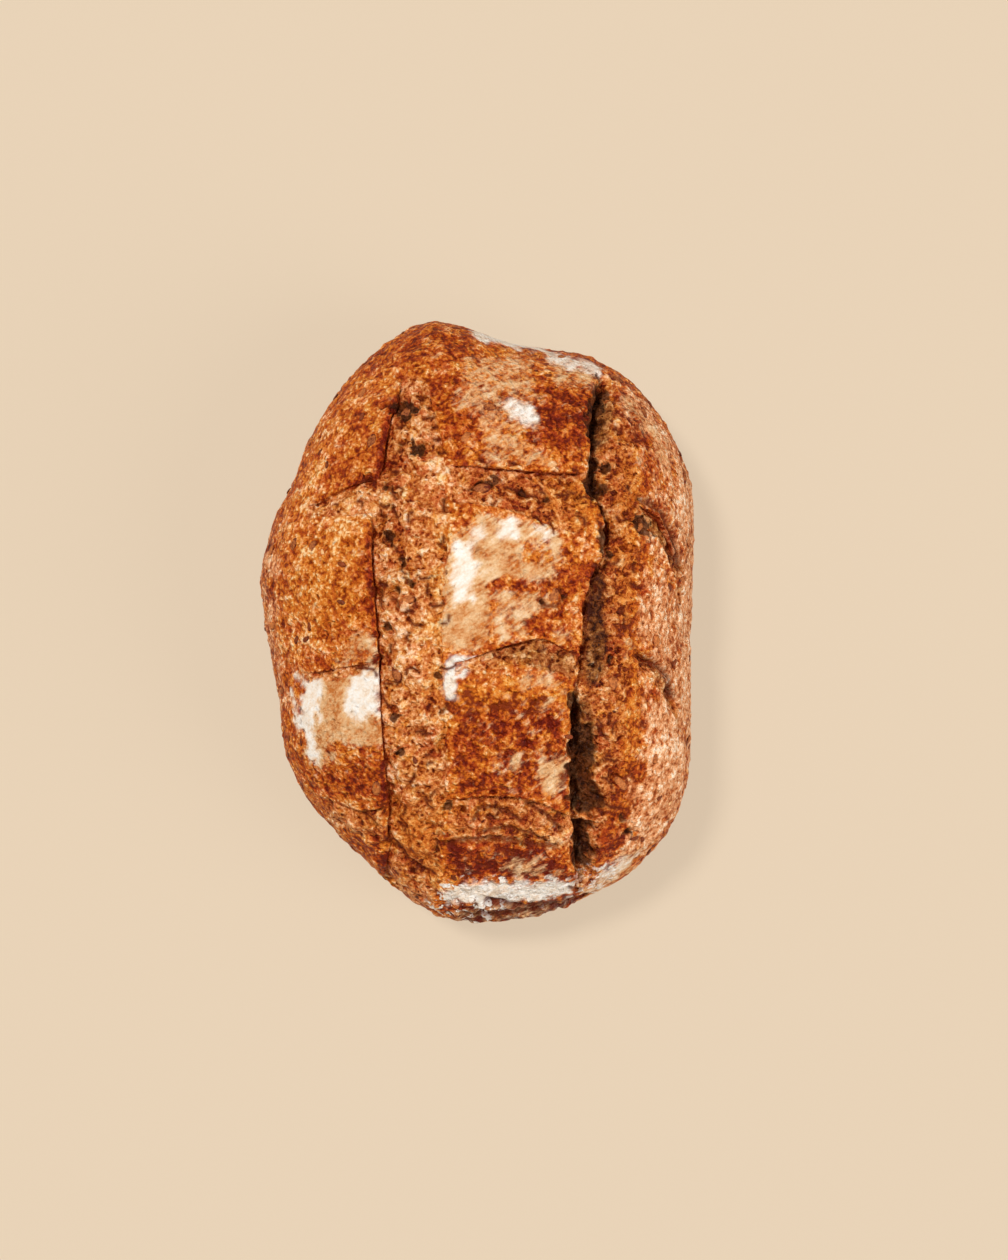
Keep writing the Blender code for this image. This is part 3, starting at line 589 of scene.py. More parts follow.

# Patches in plan for each kind: how far their edges waver, over how many millimetres they fade, then each
# one's strength and corners. White and tan are thick and thin flour, bare is a gap in it, dust the dusty
# flank, and pit the deepest part of the right cut, sunk and painted dark as shade
PATCHES = {
    "white": (0.9, 7.0, (
        (1.0, (-80, -26), (-70, -25), (-72, -36), (-71, -50), (-72, -62), (-75, -60), (-78, -46)),
        (1.0, (-60, -27), (-53, -24), (-46, -25), (-45, -42), (-54, -45), (-59, -40)),
        (1.0, (-17, 28), (-8, 29), (-8, 17), (-10, 5), (-17, 2), (-18, 15)),
        (0.9, (1, 37), (7, 40), (11, 37), (9, 30), (2, 29)),
        (0.7, (16, 38), (22, 35), (27, 32), (24, 30), (16, 32)),
        (0.7, (-12, 34), (-9, 36), (-5, 34), (-5, 30), (-11, 29)),
        (1.5, (-21, -20), (-9, -19), (-11, -25), (-15, -28), (-18, -34), (-21, -34)),
        (0.75, (6, 89), (10, 92), (15, 91), (20, 87), (19, 81), (14, 78), (8, 81)),
        (1.0, (-19, -115), (-6, -110), (4, -113), (32, -112), (37, -113), (38, -119), (10, -121),
            (-16, -121)),
        (0.5, (38, -120), (45, -114), (48, -106), (52, -103), (66, -100), (61, -109), (51, -117)),
        (1.1, (-3, 126), (27, 119), (29, 115), (-1, 119)),
        (0.75, (26, 118), (51, 110), (51, 104), (37, 104), (28, 110)),
    )),
    "tan": (1.0, 8.0, (
        (1.0, (-79, -25), (-46, -22), (-45, -53), (-56, -57), (-64, -52), (-70, -63), (-77, -58)),
        (0.86, (-21, 25), (-13, 35), (2, 41), (30, 33), (27, 21), (17, 11), (-2, 11), (-2, -12), (-10, -17),
            (-22, -14)),
        (1.15, (-20, 25), (-8, 27), (-6, 6), (-6, -10), (-11, -16), (-22, -13)),
        (0.75, (10, -28), (21, -25), (29, -29), (27, -33), (11, -32)),
        (0.65, (-65, -19), (-56, -8), (-50, -7), (-49, -22), (-61, -23)),
        (0.75, (0, -7), (5, -5), (8, -8), (7, -13), (1, -13)),
        (0.7, (25, -9), (29, -7), (32, -12), (25, -13)),
        (0.6, (16, -37), (23, -35), (25, -39), (17, -41)),
        (0.75, (19, -61), (30, -58), (29, -71), (23, -75), (17, -71)),
        (0.65, (3, -60), (9, -58), (12, -61), (10, -65), (4, -65)),
        (0.5, (-10, 109), (21, 113), (24, 105), (18, 96), (21, 80), (12, 76), (10, 70), (-3, 75), (-13, 88)),
        (0.55, (58, 99), (66, 93), (77, 79), (83, 64), (77, 62), (66, 80), (56, 92)),
        (0.6, (10, 72), (32, 60), (-5, 61), (-3, 75)),
        (0.6, (4, -106), (12, -102), (23, -104), (30, -108), (6, -110)),
        (0.6, (-2, 11), (16, 11), (22, 2), (10, -12), (-2, -12)),
        (0.6, (24, 118), (52, 108), (50, 98), (30, 98)),
        (0.4, (-16, -121), (38, -120), (34, -129), (-10, -133)),
        (0.8, (38, -120), (45, -112), (66, -98), (64, -108), (52, -119)),
    )),
    "bare": (0.5, 3.0, (
        (1.0, (10, 29), (22, 29), (24, 21), (11, 20)),
        (1.0, (-3, 12), (4, 14), (18, 11.5), (18, 7), (4, 8.5), (-3, 7.5)),
    )),
    "dust": (2.0, 12.0, (
        (1.0, (55, 101), (64, 99), (76, 90), (85, 64), (80, 57), (72, 68), (59, 87)),
        (1.0, (67, -36), (86, -31), (87, -61), (85, -78), (74, -98), (54, -104), (61, -78)),
        (1.0, (80, 70), (98, 60), (98, -70), (88, -80), (82, -30)),
        (0.85, (63, 18), (83, 15), (84, -31), (67, -32), (62, -11)),
        (0.45, (58, 100), (96, 70), (96, -80), (60, -106), (64, -60), (66, 60)),
        (0.6, (-96, 50), (-87, 46), (-86, 0), (-84, -40), (-96, -40)),
    )),
    "pale": (1.0, 7.0, (
        (1.0, (-79, 44), (-66, 50), (-38, 52), (-34, 46), (-39, 39), (-63, 42)),
        (0.5, (-46, 22), (-23, 21), (-23, -28), (-46, -28)),
        (0.8, (-90, 10), (-82, 60), (-60, 100), (-52, 100), (-70, 50), (-78, 0)),
        (0.7, (-88, -20), (-86, 40), (-52, 40), (-50, -18)),
        (1.0, (-27, 64), (-19, 64), (-20, 20), (-22, -32), (-27, -30), (-25, 20)),
    )),
    "brown": (1.0, 6.0, (
        (1.5, (-20, -37), (-6, -33), (27, -35), (31, -78), (-10, -74), (-19, -69)),
        (1.4, (26, 100), (49, 98), (42, 68), (35, 62), (14, 72), (21, 81)),
        (1.0, (-24, 100), (-14, 102), (-6, 78), (-5, 63), (-16, 60), (-26, 90)),
        (1.3, (-62, 52), (-58, 60), (-48, 62), (-44, 78), (-40, 78), (-38, 54), (-50, 50)),
        (1.0, (-67, -57), (-48, -55), (-44, -79), (-60, -79)),
        (1.3, (-46, -106), (-37, -94), (-29, -98), (-26, -111), (-38, -111)),
        (2.1, (-20, -95), (16, -97), (30, -99), (32, -109), (17, -109), (-14, -110)),
        (1.2, (-14, -79), (-4, -78), (10, -80), (24, -86), (30, -92), (12, -84), (-4, -82)),
        (1.3, (62, 50), (70, 49), (78, 42), (84, 28), (84, 20), (80, 28), (74, 38), (66, 44)),
        (3.0, (-12, -120), (10, -121), (43, -119), (34, -128), (-11, -134)),
        (0.8, (21, 15), (32, 30), (35, 5), (32, -12), (10, -8), (-2, 4)),
        (0.8, (-58, -80), (-20, -80), (-20, -112), (-34, -112), (-52, -98)),
        (0.6, (-20, -74), (34, -74), (34, -98), (-20, -98)),
        (1.3, (50, 60), (62, 60), (64, 30), (62, -40), (60, -100), (46, -104), (46, -60), (50, 20)),
        (1.8, (39, 22), (38, 5), (38, -12), (38, -34), (47, -33), (49, -12), (48, 5), (47, 22)),
        (1.2, (56, 102), (64, 97), (74, 76), (70, 60), (54, 62)),
        (0.7, (-12, 58), (40, 56), (32, 36), (12, 42), (-10, 46)),
        (0.5, (-50, 118), (-20, 128), (-4, 112), (-18, 104), (-40, 104)),
    )),
    "gold": (2.0, 9.0, (
        (0.7, (30, 56), (42, 56), (46, 40), (34, 36), (26, 44)),
        (0.5, (-46, -80), (-20, -80), (-20, -112), (-34, -100), (-50, -88)),
        (0.35, (-80, 30), (-60, 40), (-52, 30), (-60, -5), (-84, -5)),
        (0.7, (10, 28), (22, 28), (22, 21), (12, 20)),
        (0.6, (-26, 38), (-19, 38), (-20, 20), (-22, -32), (-27, -30), (-25, 20)),
        (0.5, (55, 70), (62, 70), (62, -90), (54, -90)),
        (0.7, (-20, -30), (30, -30), (30, -40), (-20, -40)),
    )),
    "olive": (0.6, 5.0, (
        (0.8, (49, 94), (46, 80), (45, 71), (49, 70), (53, 78), (55, 86), (53, 96)),
        (1.0, (39, 21), (38, 5), (39, -12), (39, -31), (46, -31), (48, -12), (47, 5), (46, 21)),
        (0.8, (40, -34), (44, -50), (44, -80), (36, -80), (36, -40)),
        (0.6, (-7, -18), (6, -14), (19, -13), (32, -17), (31, -28), (10, -22)),
        (0.6, (60, 48), (70, 46), (79, 36), (84, 20), (72, 23)),
        (0.5, (62, -18), (72, -21), (79, -36), (70, -31)),
    )),
    "crag": (1.0, 5.0, (
        (1.0, (-19, -112), (-5, -108), (8, -108), (10, -135), (-14, -136), (-24, -122)),
        (0.5, (8, -110), (52, -103), (58, -110), (36, -133), (8, -135)),
    )),
    "pit": (1.0, 3.0, (
        (1.0, (51, 103), (48, 97), (43, 90), (41, 82), (41, 74), (43, 69), (47, 72), (48, 80), (51, 88),
            (54, 97)),
        (1.0, (44, 69), (40, 62), (38, 56), (39, 50), (42, 47), (48, 50), (48, 60), (49, 67)),
        (0.9, (45, 47), (47, 40), (48, 36), (46, 32), (44, 25), (46, 24), (50, 31), (52, 39), (48, 47)),
        (1.0, (34, -32), (31, -38), (31, -76), (33, -84), (42, -86), (47, -78), (43, -66), (44, -54),
            (40, -44)),
        (1.0, (34, -90), (34, -99), (36, -108), (40, -113), (44, -108), (45, -97), (43, -90)),
    )),
}
PATCH_RAGGED = ((9.0, 3.5), (3.5, 2.4))

# Lowest place that patches reach, how soon flour ends beside the crumb, how much of it lies on the crumb, and
# how much of the thin kind is missing in a bare patch
PATCH_LOWEST = 9.0
FLOUR_END = 1.2
CRUMB_FLOUR = 0.35
BARE = 0.7


def ease(value):
    value = np.clip(value, 0, 1)
    return value * value * (3 - 2 * value)


def inside(x, y, corners):
    """How far each point lies inside the patch, in millimetres; below 0 outside."""
    sides = list(zip(corners, corners[1:] + corners[:1]))
    away = np.min([to_segment(x, y, start, end) for start, end in sides], axis=0)
    within = np.zeros(x.shape, bool)
    for (ax, ay), (bx, by) in sides:
        if ay != by:
            within ^= ((ay > y) != (by > y)) & (x < ax + (bx - ax) * (y - ay) / (by - ay))
    return np.where(within, away, -away)


def cover(points, patches, rough, soft):
    """Share of each point that the patches cover. Their edges waver by rough and fade over soft."""
    x, y = points[:, 0], points[:, 1]
    shares = [part * ease((inside(x, y, corners) + rough) / soft + 0.5) for part, *corners in patches]
    return np.max(shares, axis=0)


def point_tree(points):
    tree = KDTree(len(points))
    for k, point in enumerate(points):
        tree.insert(point, k)
    tree.balance()
    return tree


def spot(theta, rho):
    """One place of the plain loaf and its normal."""
    place, normal = dome(np.array(theta), np.array(rho))
    return Vector(place), Vector(normal)


def any_place(rng):
    """A random place on the plain loaf, as likely on each part of its top in plan."""
    theta = rng.uniform(0, 2 * math.pi)
    spread = rng.uniform(0, 1 + SIDE_SHARE)
    on_top = math.asin(math.sqrt(min(spread, 1)) ** (DOME_FULLNESS / 2)) * 2 / math.pi
    return spot(theta, on_top if spread < 1 else rng.uniform(1, 2))[0]


def scatter(tree, rng, count, radii, heights, wanted):
    """Rounded bumps at random places of the loaf, where the nearest point is wanted."""
    added = np.zeros(len(wanted))
    for _ in range(count):
        radius = rng.uniform(*radii)
        height = rng.uniform(*heights)
        place = any_place(rng)
        if wanted[tree.find(place)[1]]:
            for _, near, away in tree.find_range(place, radius):
                added[near] = max(added[near], height * (1 - (away / radius) ** 2))
    return added


def curls(tree, rng, count, lengths, bends, half_width, wanted):
    """Random short arcs: 1 on their lines, fading to 0 beside them, where the nearest point is wanted."""
    added = np.zeros(len(wanted))
    for _ in range(count):
        place = any_place(rng)
        heading = rng.uniform(0, 2 * math.pi)
        steps = round(rng.uniform(*lengths) / half_width)
        bend = rng.uniform(*bends) / steps
        if not wanted[tree.find(place)[1]]:
            continue
        for _ in range(steps):
            place = tree.find(place + half_width * Vector((math.cos(heading), math.sin(heading), 0)))[0]
            heading += bend
            for _, near, away in tree.find_range(place, 2 * half_width):
                added[near] = max(added[near], math.exp(-((away / half_width) ** 2)))
    return added


def hole_depth(points):
    """Depth of the seen holes at each point, their rims a little ragged."""
    ragged = 1 + waves(points, HOLE_RAGGED)
    depth = np.zeros(len(points))
    for x, y, radius, deep in HOLES:
        away = np.hypot(points[:, 0] - x, points[:, 1] - y) * ragged / radius
        depth += deep * np.clip(HOLE_REACH - away, 0, 1) ** HOLE_STEEP
    return depth


def rim(corner):
    """Points of the grid's rim, counterclockwise from the north-west corner."""
    return np.concatenate([corner[0, :], corner[1:, -1], corner[-1, -2::-1], corner[-2:0:-1, 0]])


def between(upper, lower):
    """Faces between two closed rings of points."""
    return np.stack([upper, lower, np.roll(lower, -1), np.roll(upper, -1)], -1).tolist()


def loaf_surface():
    """Base points, normals and fields of the whole skin, and the faces of each of its strips."""
    longs, crosses = make_cuts()
    s, t, column_kinds, row_kinds = grid_places(longs, crosses)
    theta, rho = square_to_disc(s, t)
    base, normal = dome(theta, rho)
    x, y = base[..., 0], base[..., 1]
    rough = waves(base, CRUMB_RAGGED)
    over_longs = heights_over(longs, column_kinds, x, y, rough)
    over_crosses = [field.T for field in heights_over(crosses, row_kinds, y.T, x.T, rough.T)]
    top_fields = {
        "height": over_longs[0] + over_crosses[0] - GASH_DEPTH * groove(x, y, GASH_HALF_WIDTH, GASH),
        "crumb": np.maximum(over_longs[1], over_crosses[1]),
        "deep": np.maximum(over_longs[2], over_crosses[2]),
        "edge": np.clip(over_longs[3] + over_crosses[3], -1, 1),
    }
    corner = np.arange(x.size).reshape(x.shape)
    ring = rim(corner)
    bases, normals = [base.reshape(-1, 3)], [normal.reshape(-1, 3)]
    for k in range(1, SKIRT_RINGS + 1):
        points, outward = dome(theta.reshape(-1)[ring], np.full(len(ring), 1 + k / SKIRT_RINGS))
        bases.append(points)
        normals.append(outward)
    middle = np.array([*CROWN, 0.0])
    last = bases[-1]
    for inner in UNDERSIDE_RINGS:
        bases.append(middle + (last - middle) * inner)
        normals.append(np.tile((0.0, 0.0, -1.0), (len(ring), 1)))
    bases.append(middle[None, :])
    normals.append(np.array([[0.0, 0.0, -1.0]]))
    rings = [ring] + [x.size + k * len(ring) + np.arange(len(ring)) for k in range(len(bases) - 2)]
    centre = np.full(len(ring), x.size + (len(rings) - 1) * len(ring))
    quads = np.stack([corner[:-1, :-1], corner[:-1, 1:], corner[1:, 1:], corner[1:, :-1]], -1)
    creases = [k for k, kind in enumerate(column_kinds) if kind in CREASE_STATIONS]
    strips = {
        "crust_west": quads[: creases[0]].reshape(-1, 4).tolist(),
        "crust_middle": quads[creases[0] : creases[1]].reshape(-1, 4).tolist(),
        "crust_east": quads[creases[1] :].reshape(-1, 4).tolist(),
        "crust_base": [face for upper, lower in zip(rings, rings[1:]) for face in between(upper, lower)],
    }
    strips["crust_base"] += np.stack([rings[-1], centre, np.roll(rings[-1], -1)], -1).tolist()
    bases, normals = np.concatenate(bases), np.concatenate(normals)
    fields = {}
    for name, values in top_fields.items():
        fields[name] = np.zeros(len(bases))
        fields[name][: x.size] = values.reshape(-1)
    return bases, normals, fields, strips


def add_patches(bases, fields):
    rough = waves(bases, PATCH_RAGGED)
    upper = ease((bases[:, 2] - PATCH_LOWEST) / (BELLY - PATCH_LOWEST))
    for name, (waver, soft, patches) in PATCHES.items():
        fields[name] = cover(bases, patches, rough * waver, soft) * upper
    crust = np.clip((1 - fields["crumb"]) * FLOUR_END, 0, 1)
    fields["white"] = np.minimum(fields["white"] * np.maximum(crust, CRUMB_FLOUR), 1)
    fields["tan"] = fields["tan"] * crust * (1 - BARE * fields["bare"])


def small_relief(bases, fields, under):
    """Height of all small forms, and how far each point lies in a curled strand, whose hollow is painted dark
    as shade.
    """
    rng = random.Random(RELIEF_SEED)
    tree = point_tree(bases)
    crumb = fields["crumb"]
    in_crumb = {kind: crumb > least for kind, least in IN_CRUMB.items()}
    on_crust = ~under & (crumb < IN_CRUMB["pits"])
    fine = waves(bases, FINE_CRUST_WAVES) * (1 - crumb) + crumb * waves(bases, FINE_CRUMB_WAVES)
    fine += scatter(tree, rng, *BLISTERS, on_crust)
    cobbles = scatter(tree, rng, *COBBLES, on_crust)
    fine += cobbles * (COBBLE_LEAST + (1 - COBBLE_LEAST) * np.clip(fields["brown"], 0, 1))
    fine -= scatter(tree, rng, *PITS, in_crumb["pits"])
    fine += scatter(tree, rng, *LUMPS, in_crumb["pits"])
    fine -= scatter(tree, rng, *HOLLOWS, in_crumb["hollows"])
    curl = curls(tree, rng, *CURLS, in_crumb["curls"])
    fine -= CURL_DEPTH * curl
    flour = FLOUR_SMOOTHS[0] * fields["white"] + FLOUR_SMOOTHS[1] * fields["tan"]
    fine *= 1 - np.clip(flour, 0, FLOUR_SMOOTHS[0])
    fine += np.maximum(fields["crag"], PIT_CRAGS * fields["pit"]) * waves(bases, CRAG_WAVES)
    return fine, curl


def add_relief(bases, fields):
    """Heights over the plain loaf, in millimetres, and the fields that shade the small forms."""
    under = bases[:, 2] < UNDERSIDE
    fade = np.clip(bases[:, 2] / BELLY, 0, 1)
    height = fields["height"] + waves(bases, CRUST_WAVES) * fade
    height += fields["crumb"] * waves(bases, CRUMB_WAVES)
    fine, curl = small_relief(bases, fields, under)
    top = bases[:, 2] > BELLY
    holes = hole_depth(bases) * top
    grooves = np.zeros(len(bases))
    for half_width, depth, line in GROOVES:
        part = groove(bases[:, 0], bases[:, 1], half_width, line) * top
        grooves = np.maximum(grooves, part * depth)
        # A groove takes the painted shade of a curled strand
        curl = np.maximum(curl, GROOVE_SHADE * part)
    height += fine * np.sqrt(fade) - holes - grooves - PIT_DEPTH * fields["pit"]
    height[under] = 0
    fields["curl"] = curl
    # cavity: lighter bumps, darker hollows; partly the crust's own tone, partly painted highlight and shade
    fields["cavity"] = np.clip(fine / CAVITY_HEIGHT, -CAVITY_LIMIT, CAVITY_LIMIT)
    # Holes are painted dark as shade, as the pits are
    fields["pit"] = np.maximum(fields["pit"], ease(holes / HOLE_SHADE))
    return height


def linked(data):
    """A new object of the scene, named like its data."""
    made = bpy.data.objects.new(data.name, data)
    bpy.context.scene.collection.objects.link(made)
    return made


def float_field(mesh, name, values):
    mesh.attributes.new(name, "FLOAT", "POINT").data.foreach_set("value", values.astype(np.float32))


def make_strip(name, faces, points, normals, fields):
    """One strip of the skin, shaded with the whole skin's normals so that no seam shows."""
    used = np.array(sorted({k for face in faces for k in face}))
    place = np.zeros(len(points), int)
    place[used] = np.arange(len(used))
    mesh = bpy.data.meshes.new(name)
    place = place.tolist()
    mesh.from_pydata(points[used].tolist(), [], [[place[k] for k in face] for face in faces])
    for field in SHADING_FIELDS:
        float_field(mesh, field, fields[field][used])
    mesh.shade_smooth()
    mesh.normals_split_custom_set_from_vertices(normals[used].tolist())
    return linked(mesh)


def build_loaf():
    """The loaf's strips, and a tree of its whole surface in millimetres to lay seeds on."""
    bases, directions, fields, strips = loaf_surface()
    add_patches(bases, fields)
    height = add_relief(bases, fields)
    points = bases + directions * height[:, None]
    points[:, 2] = np.maximum(points[:, 2], 0)
    faces = [face for strip in strips.values() for face in strip]
    tree = BVHTree.FromPolygons(points.tolist(), faces)
    whole = bpy.data.meshes.new("whole")
    whole.from_pydata(points.tolist(), [], faces)
    normals = np.zeros(len(points) * 3)
    whole.vertex_normals.foreach_get("vector", normals)
    bpy.data.meshes.remove(whole)
    points = (points - (*BOX_MIDDLE, 0)) * MM
    made = [make_strip(name, strip, points, normals.reshape(-1, 3), fields) for name, strip in strips.items()]
    return made, tree


# Kernels lie where the solid has its grains: count, least and most length, width over length and thickness
# over width, the gap between them, how far out and down they reach, how far outside the surface the search
# for it starts, the slope from which a seed's heading is measured on the side, and the random places' seed.
# Then those that the photo shows, each as plan point, length, width and heading
GRAIN_COUNT = 66
GRAIN_LENGTH = (5.0, 8.5)
GRAIN_WIDTH = (0.45, 0.62)
GRAIN_THICKNESS = (0.62, 0.8)
GRAIN_GAP = 9.0
GRAIN_FURTHEST = 0.995
GRAIN_LOWEST = 1.5
RAY_START = 25.0
STEEP = 0.5
SITE_SEED = 20
SEEN_GRAINS = (
    (-40.2, -25.3, 8.0, 4.2, 100), (50.8, -29.5, 7.0, 5.6, 60), (-36.0, 86.5, 8.0, 4.5, 60),
    (63.6, 36.4, 6.5, 3.2, 35), (-35.4, 4.7, 6.0, 4.0, 20), (-4.9, 51.6, 8.0, 5.0, 10),
    (24.0, 6.0, 8.5, 4.6, 70), (-89.5, -3.1, 6.5, 4.0, 90), (-85.5, -30.8, 5.5, 3.6, 90),
    (-73.0, 77.0, 8.0, 4.0, 60), (84.5, 80.5, 5.5, 3.4, 120), (89.5, -72.6, 6.0, 3.6, 80),
)

# Smaller seeds: how far down they lie, then count, lengths, width over length and the seed of their places
SMALL_LOWEST = 1.55
SMALL_SEEDS = {"linseeds": (90, (3.2, 4.4), 0.5, 41), "sesame_seeds": (40, (2.2, 2.9), 0.6, 51)}

# Looks of each kind: thickness over width, how far up it stands, how pointed it is, the depth of its crease,
# the seed of its random looks, its dark and light tone, and its roughness
SEED_LOOKS = {
    "wheat_kernels": (GRAIN_THICKNESS, -0.22, 0.1, 0.3, 31, (92, 26, 4), (206, 122, 60), 0.6),
    "linseeds": ((0.42, 0.42), 0.05, 0.5, 0.0, 42, (84, 28, 6), (140, 62, 20), 0.5),
    "sesame_seeds": ((0.5, 0.5), 0.08, 0.5, 0.0, 52, (200, 134, 72), (240, 196, 142), 0.55),
}
SEED_RINGS = 15
SEED_SIDES = 16
CREASE_WIDTH = 0.22


def kernel_sites():
    """Where the kernels lie: the seen ones first, then random ones spread over the crust and its sides."""
    rng = random.Random(SITE_SEED)
    sites = []
    for x, y, length, width, heading in SEEN_GRAINS:
        dx, dy = x - CROWN[0], y - CROWN[1]
        theta = math.atan2(dy, dx)
        r = min(math.hypot(dx, dy) / float(outline(np.array(theta))[0]), GRAIN_FURTHEST)
        rho = math.asin(r ** (DOME_FULLNESS / 2)) * 2 / math.pi
        sites.append((theta, rho, length, width, math.radians(heading)))
    taken = [spot(theta, rho)[0] for theta, rho, *_ in sites]
    while len(sites) < GRAIN_COUNT:
        theta, rho = rng.uniform(0, 2 * math.pi), GRAIN_LOWEST * math.sqrt(rng.random())
        length = rng.uniform(*GRAIN_LENGTH)
        width = length * rng.uniform(*GRAIN_WIDTH)
        heading = rng.uniform(0, math.pi)
        place = spot(theta, rho)[0]
        if min((place - other).length for other in taken) > GRAIN_GAP:
            taken.append(place)
            sites.append((theta, rho, length, width, heading))
    return sites


def small_sites(count, lengths, width_share, seed):
    """Random places of small seeds over the crust and its sides, none of them in flour."""
    rng = random.Random(seed)
    flour = [corners for name in ("white", "tan") for _, *corners in PATCHES[name][2]]
    sites = []
    while len(sites) < count:
        theta, rho = rng.uniform(0, 2 * math.pi), SMALL_LOWEST * math.sqrt(rng.random())
        x, y = (np.array(value) for value in spot(theta, rho)[0][:2])
        if max(inside(x, y, corners) for corners in flour) < 0:
            length = rng.uniform(*lengths)
            sites.append((theta, rho, length, length * width_share, rng.uniform(0, math.pi)))
    return sites


def seed_frame(tree, site, thickness, proud):
    """The seed's matrix: its middle at the surface met from outside, its length along the heading."""
    theta, rho, length, width, heading = site
    place, normal = spot(theta, rho)
    hit, met = tree.ray_cast(place + RAY_START * normal, -normal)[:2]
    met = (met + 2 * normal).normalized()
    along = Vector((math.cos(heading), math.sin(heading), 0))
    if abs(met.z) < STEEP:
        along = Vector((-met.y, met.x, 0)) * math.cos(heading) + Vector((0, 0, 1)) * math.sin(heading)
    across = met.cross(along).normalized()
    along = across.cross(met)
    turn = Matrix((along, -across, met)).transposed().to_4x4()
    size = Matrix.Diagonal((length / 2, width / 2, thickness / 2, 1))
    return Matrix.Translation(hit + proud * thickness * met) @ turn @ size


def seed_form(point, crease):
    """One seed of unit half sizes: pointed at one end, round at the other, with a crease along its top."""
    u = np.linspace(0, math.pi, SEED_RINGS)[:, None]
    v = np.linspace(0, 2 * math.pi, SEED_SIDES, endpoint=False)[None, :]
    x = -np.cos(u) * np.ones_like(v)
    girth = np.sin(u) * (1 + point / 2 * np.cos(u))
    y, z = girth * np.cos(v), girth * np.sin(v)
    z = z - crease * np.exp(-((y / CREASE_WIDTH) ** 2)) * (z > 0) * np.sin(u)
    return np.stack([x, y, z], -1).reshape(-1, 3)


def make_seeds(name, tree, sites, thickness, proud, form, rng):
    """All seeds of one kind as one mesh, each with a tint of its own, and how far up each point stands."""
    corner = np.arange(len(form)).reshape(SEED_RINGS, SEED_SIDES)
    after = np.roll(corner, -1, axis=1)
    quads = np.stack([corner[:-1], after[:-1], after[1:], corner[1:]], -1).reshape(-1, 4)
    points, faces, tints = [], [], []
    for n, site in enumerate(sites):
        thick = site[3] * rng.uniform(*thickness)
        frame = np.array(seed_frame(tree, site, thick, proud))
        points.append(form @ frame[:3, :3].T + frame[:3, 3])
        faces.append(quads + n * len(form))
        tints.append(np.full(len(form), rng.random()))
    points = (np.concatenate(points) - (*BOX_MIDDLE, 0)) * MM
    mesh = bpy.data.meshes.new(name)
    mesh.from_pydata(points.tolist(), [], np.concatenate(faces).tolist())
    float_field(mesh, "tint", np.concatenate(tints))
    float_field(mesh, "rise", np.tile(form[:, 2], len(sites)))
    mesh.shade_smooth()
    return linked(mesh)


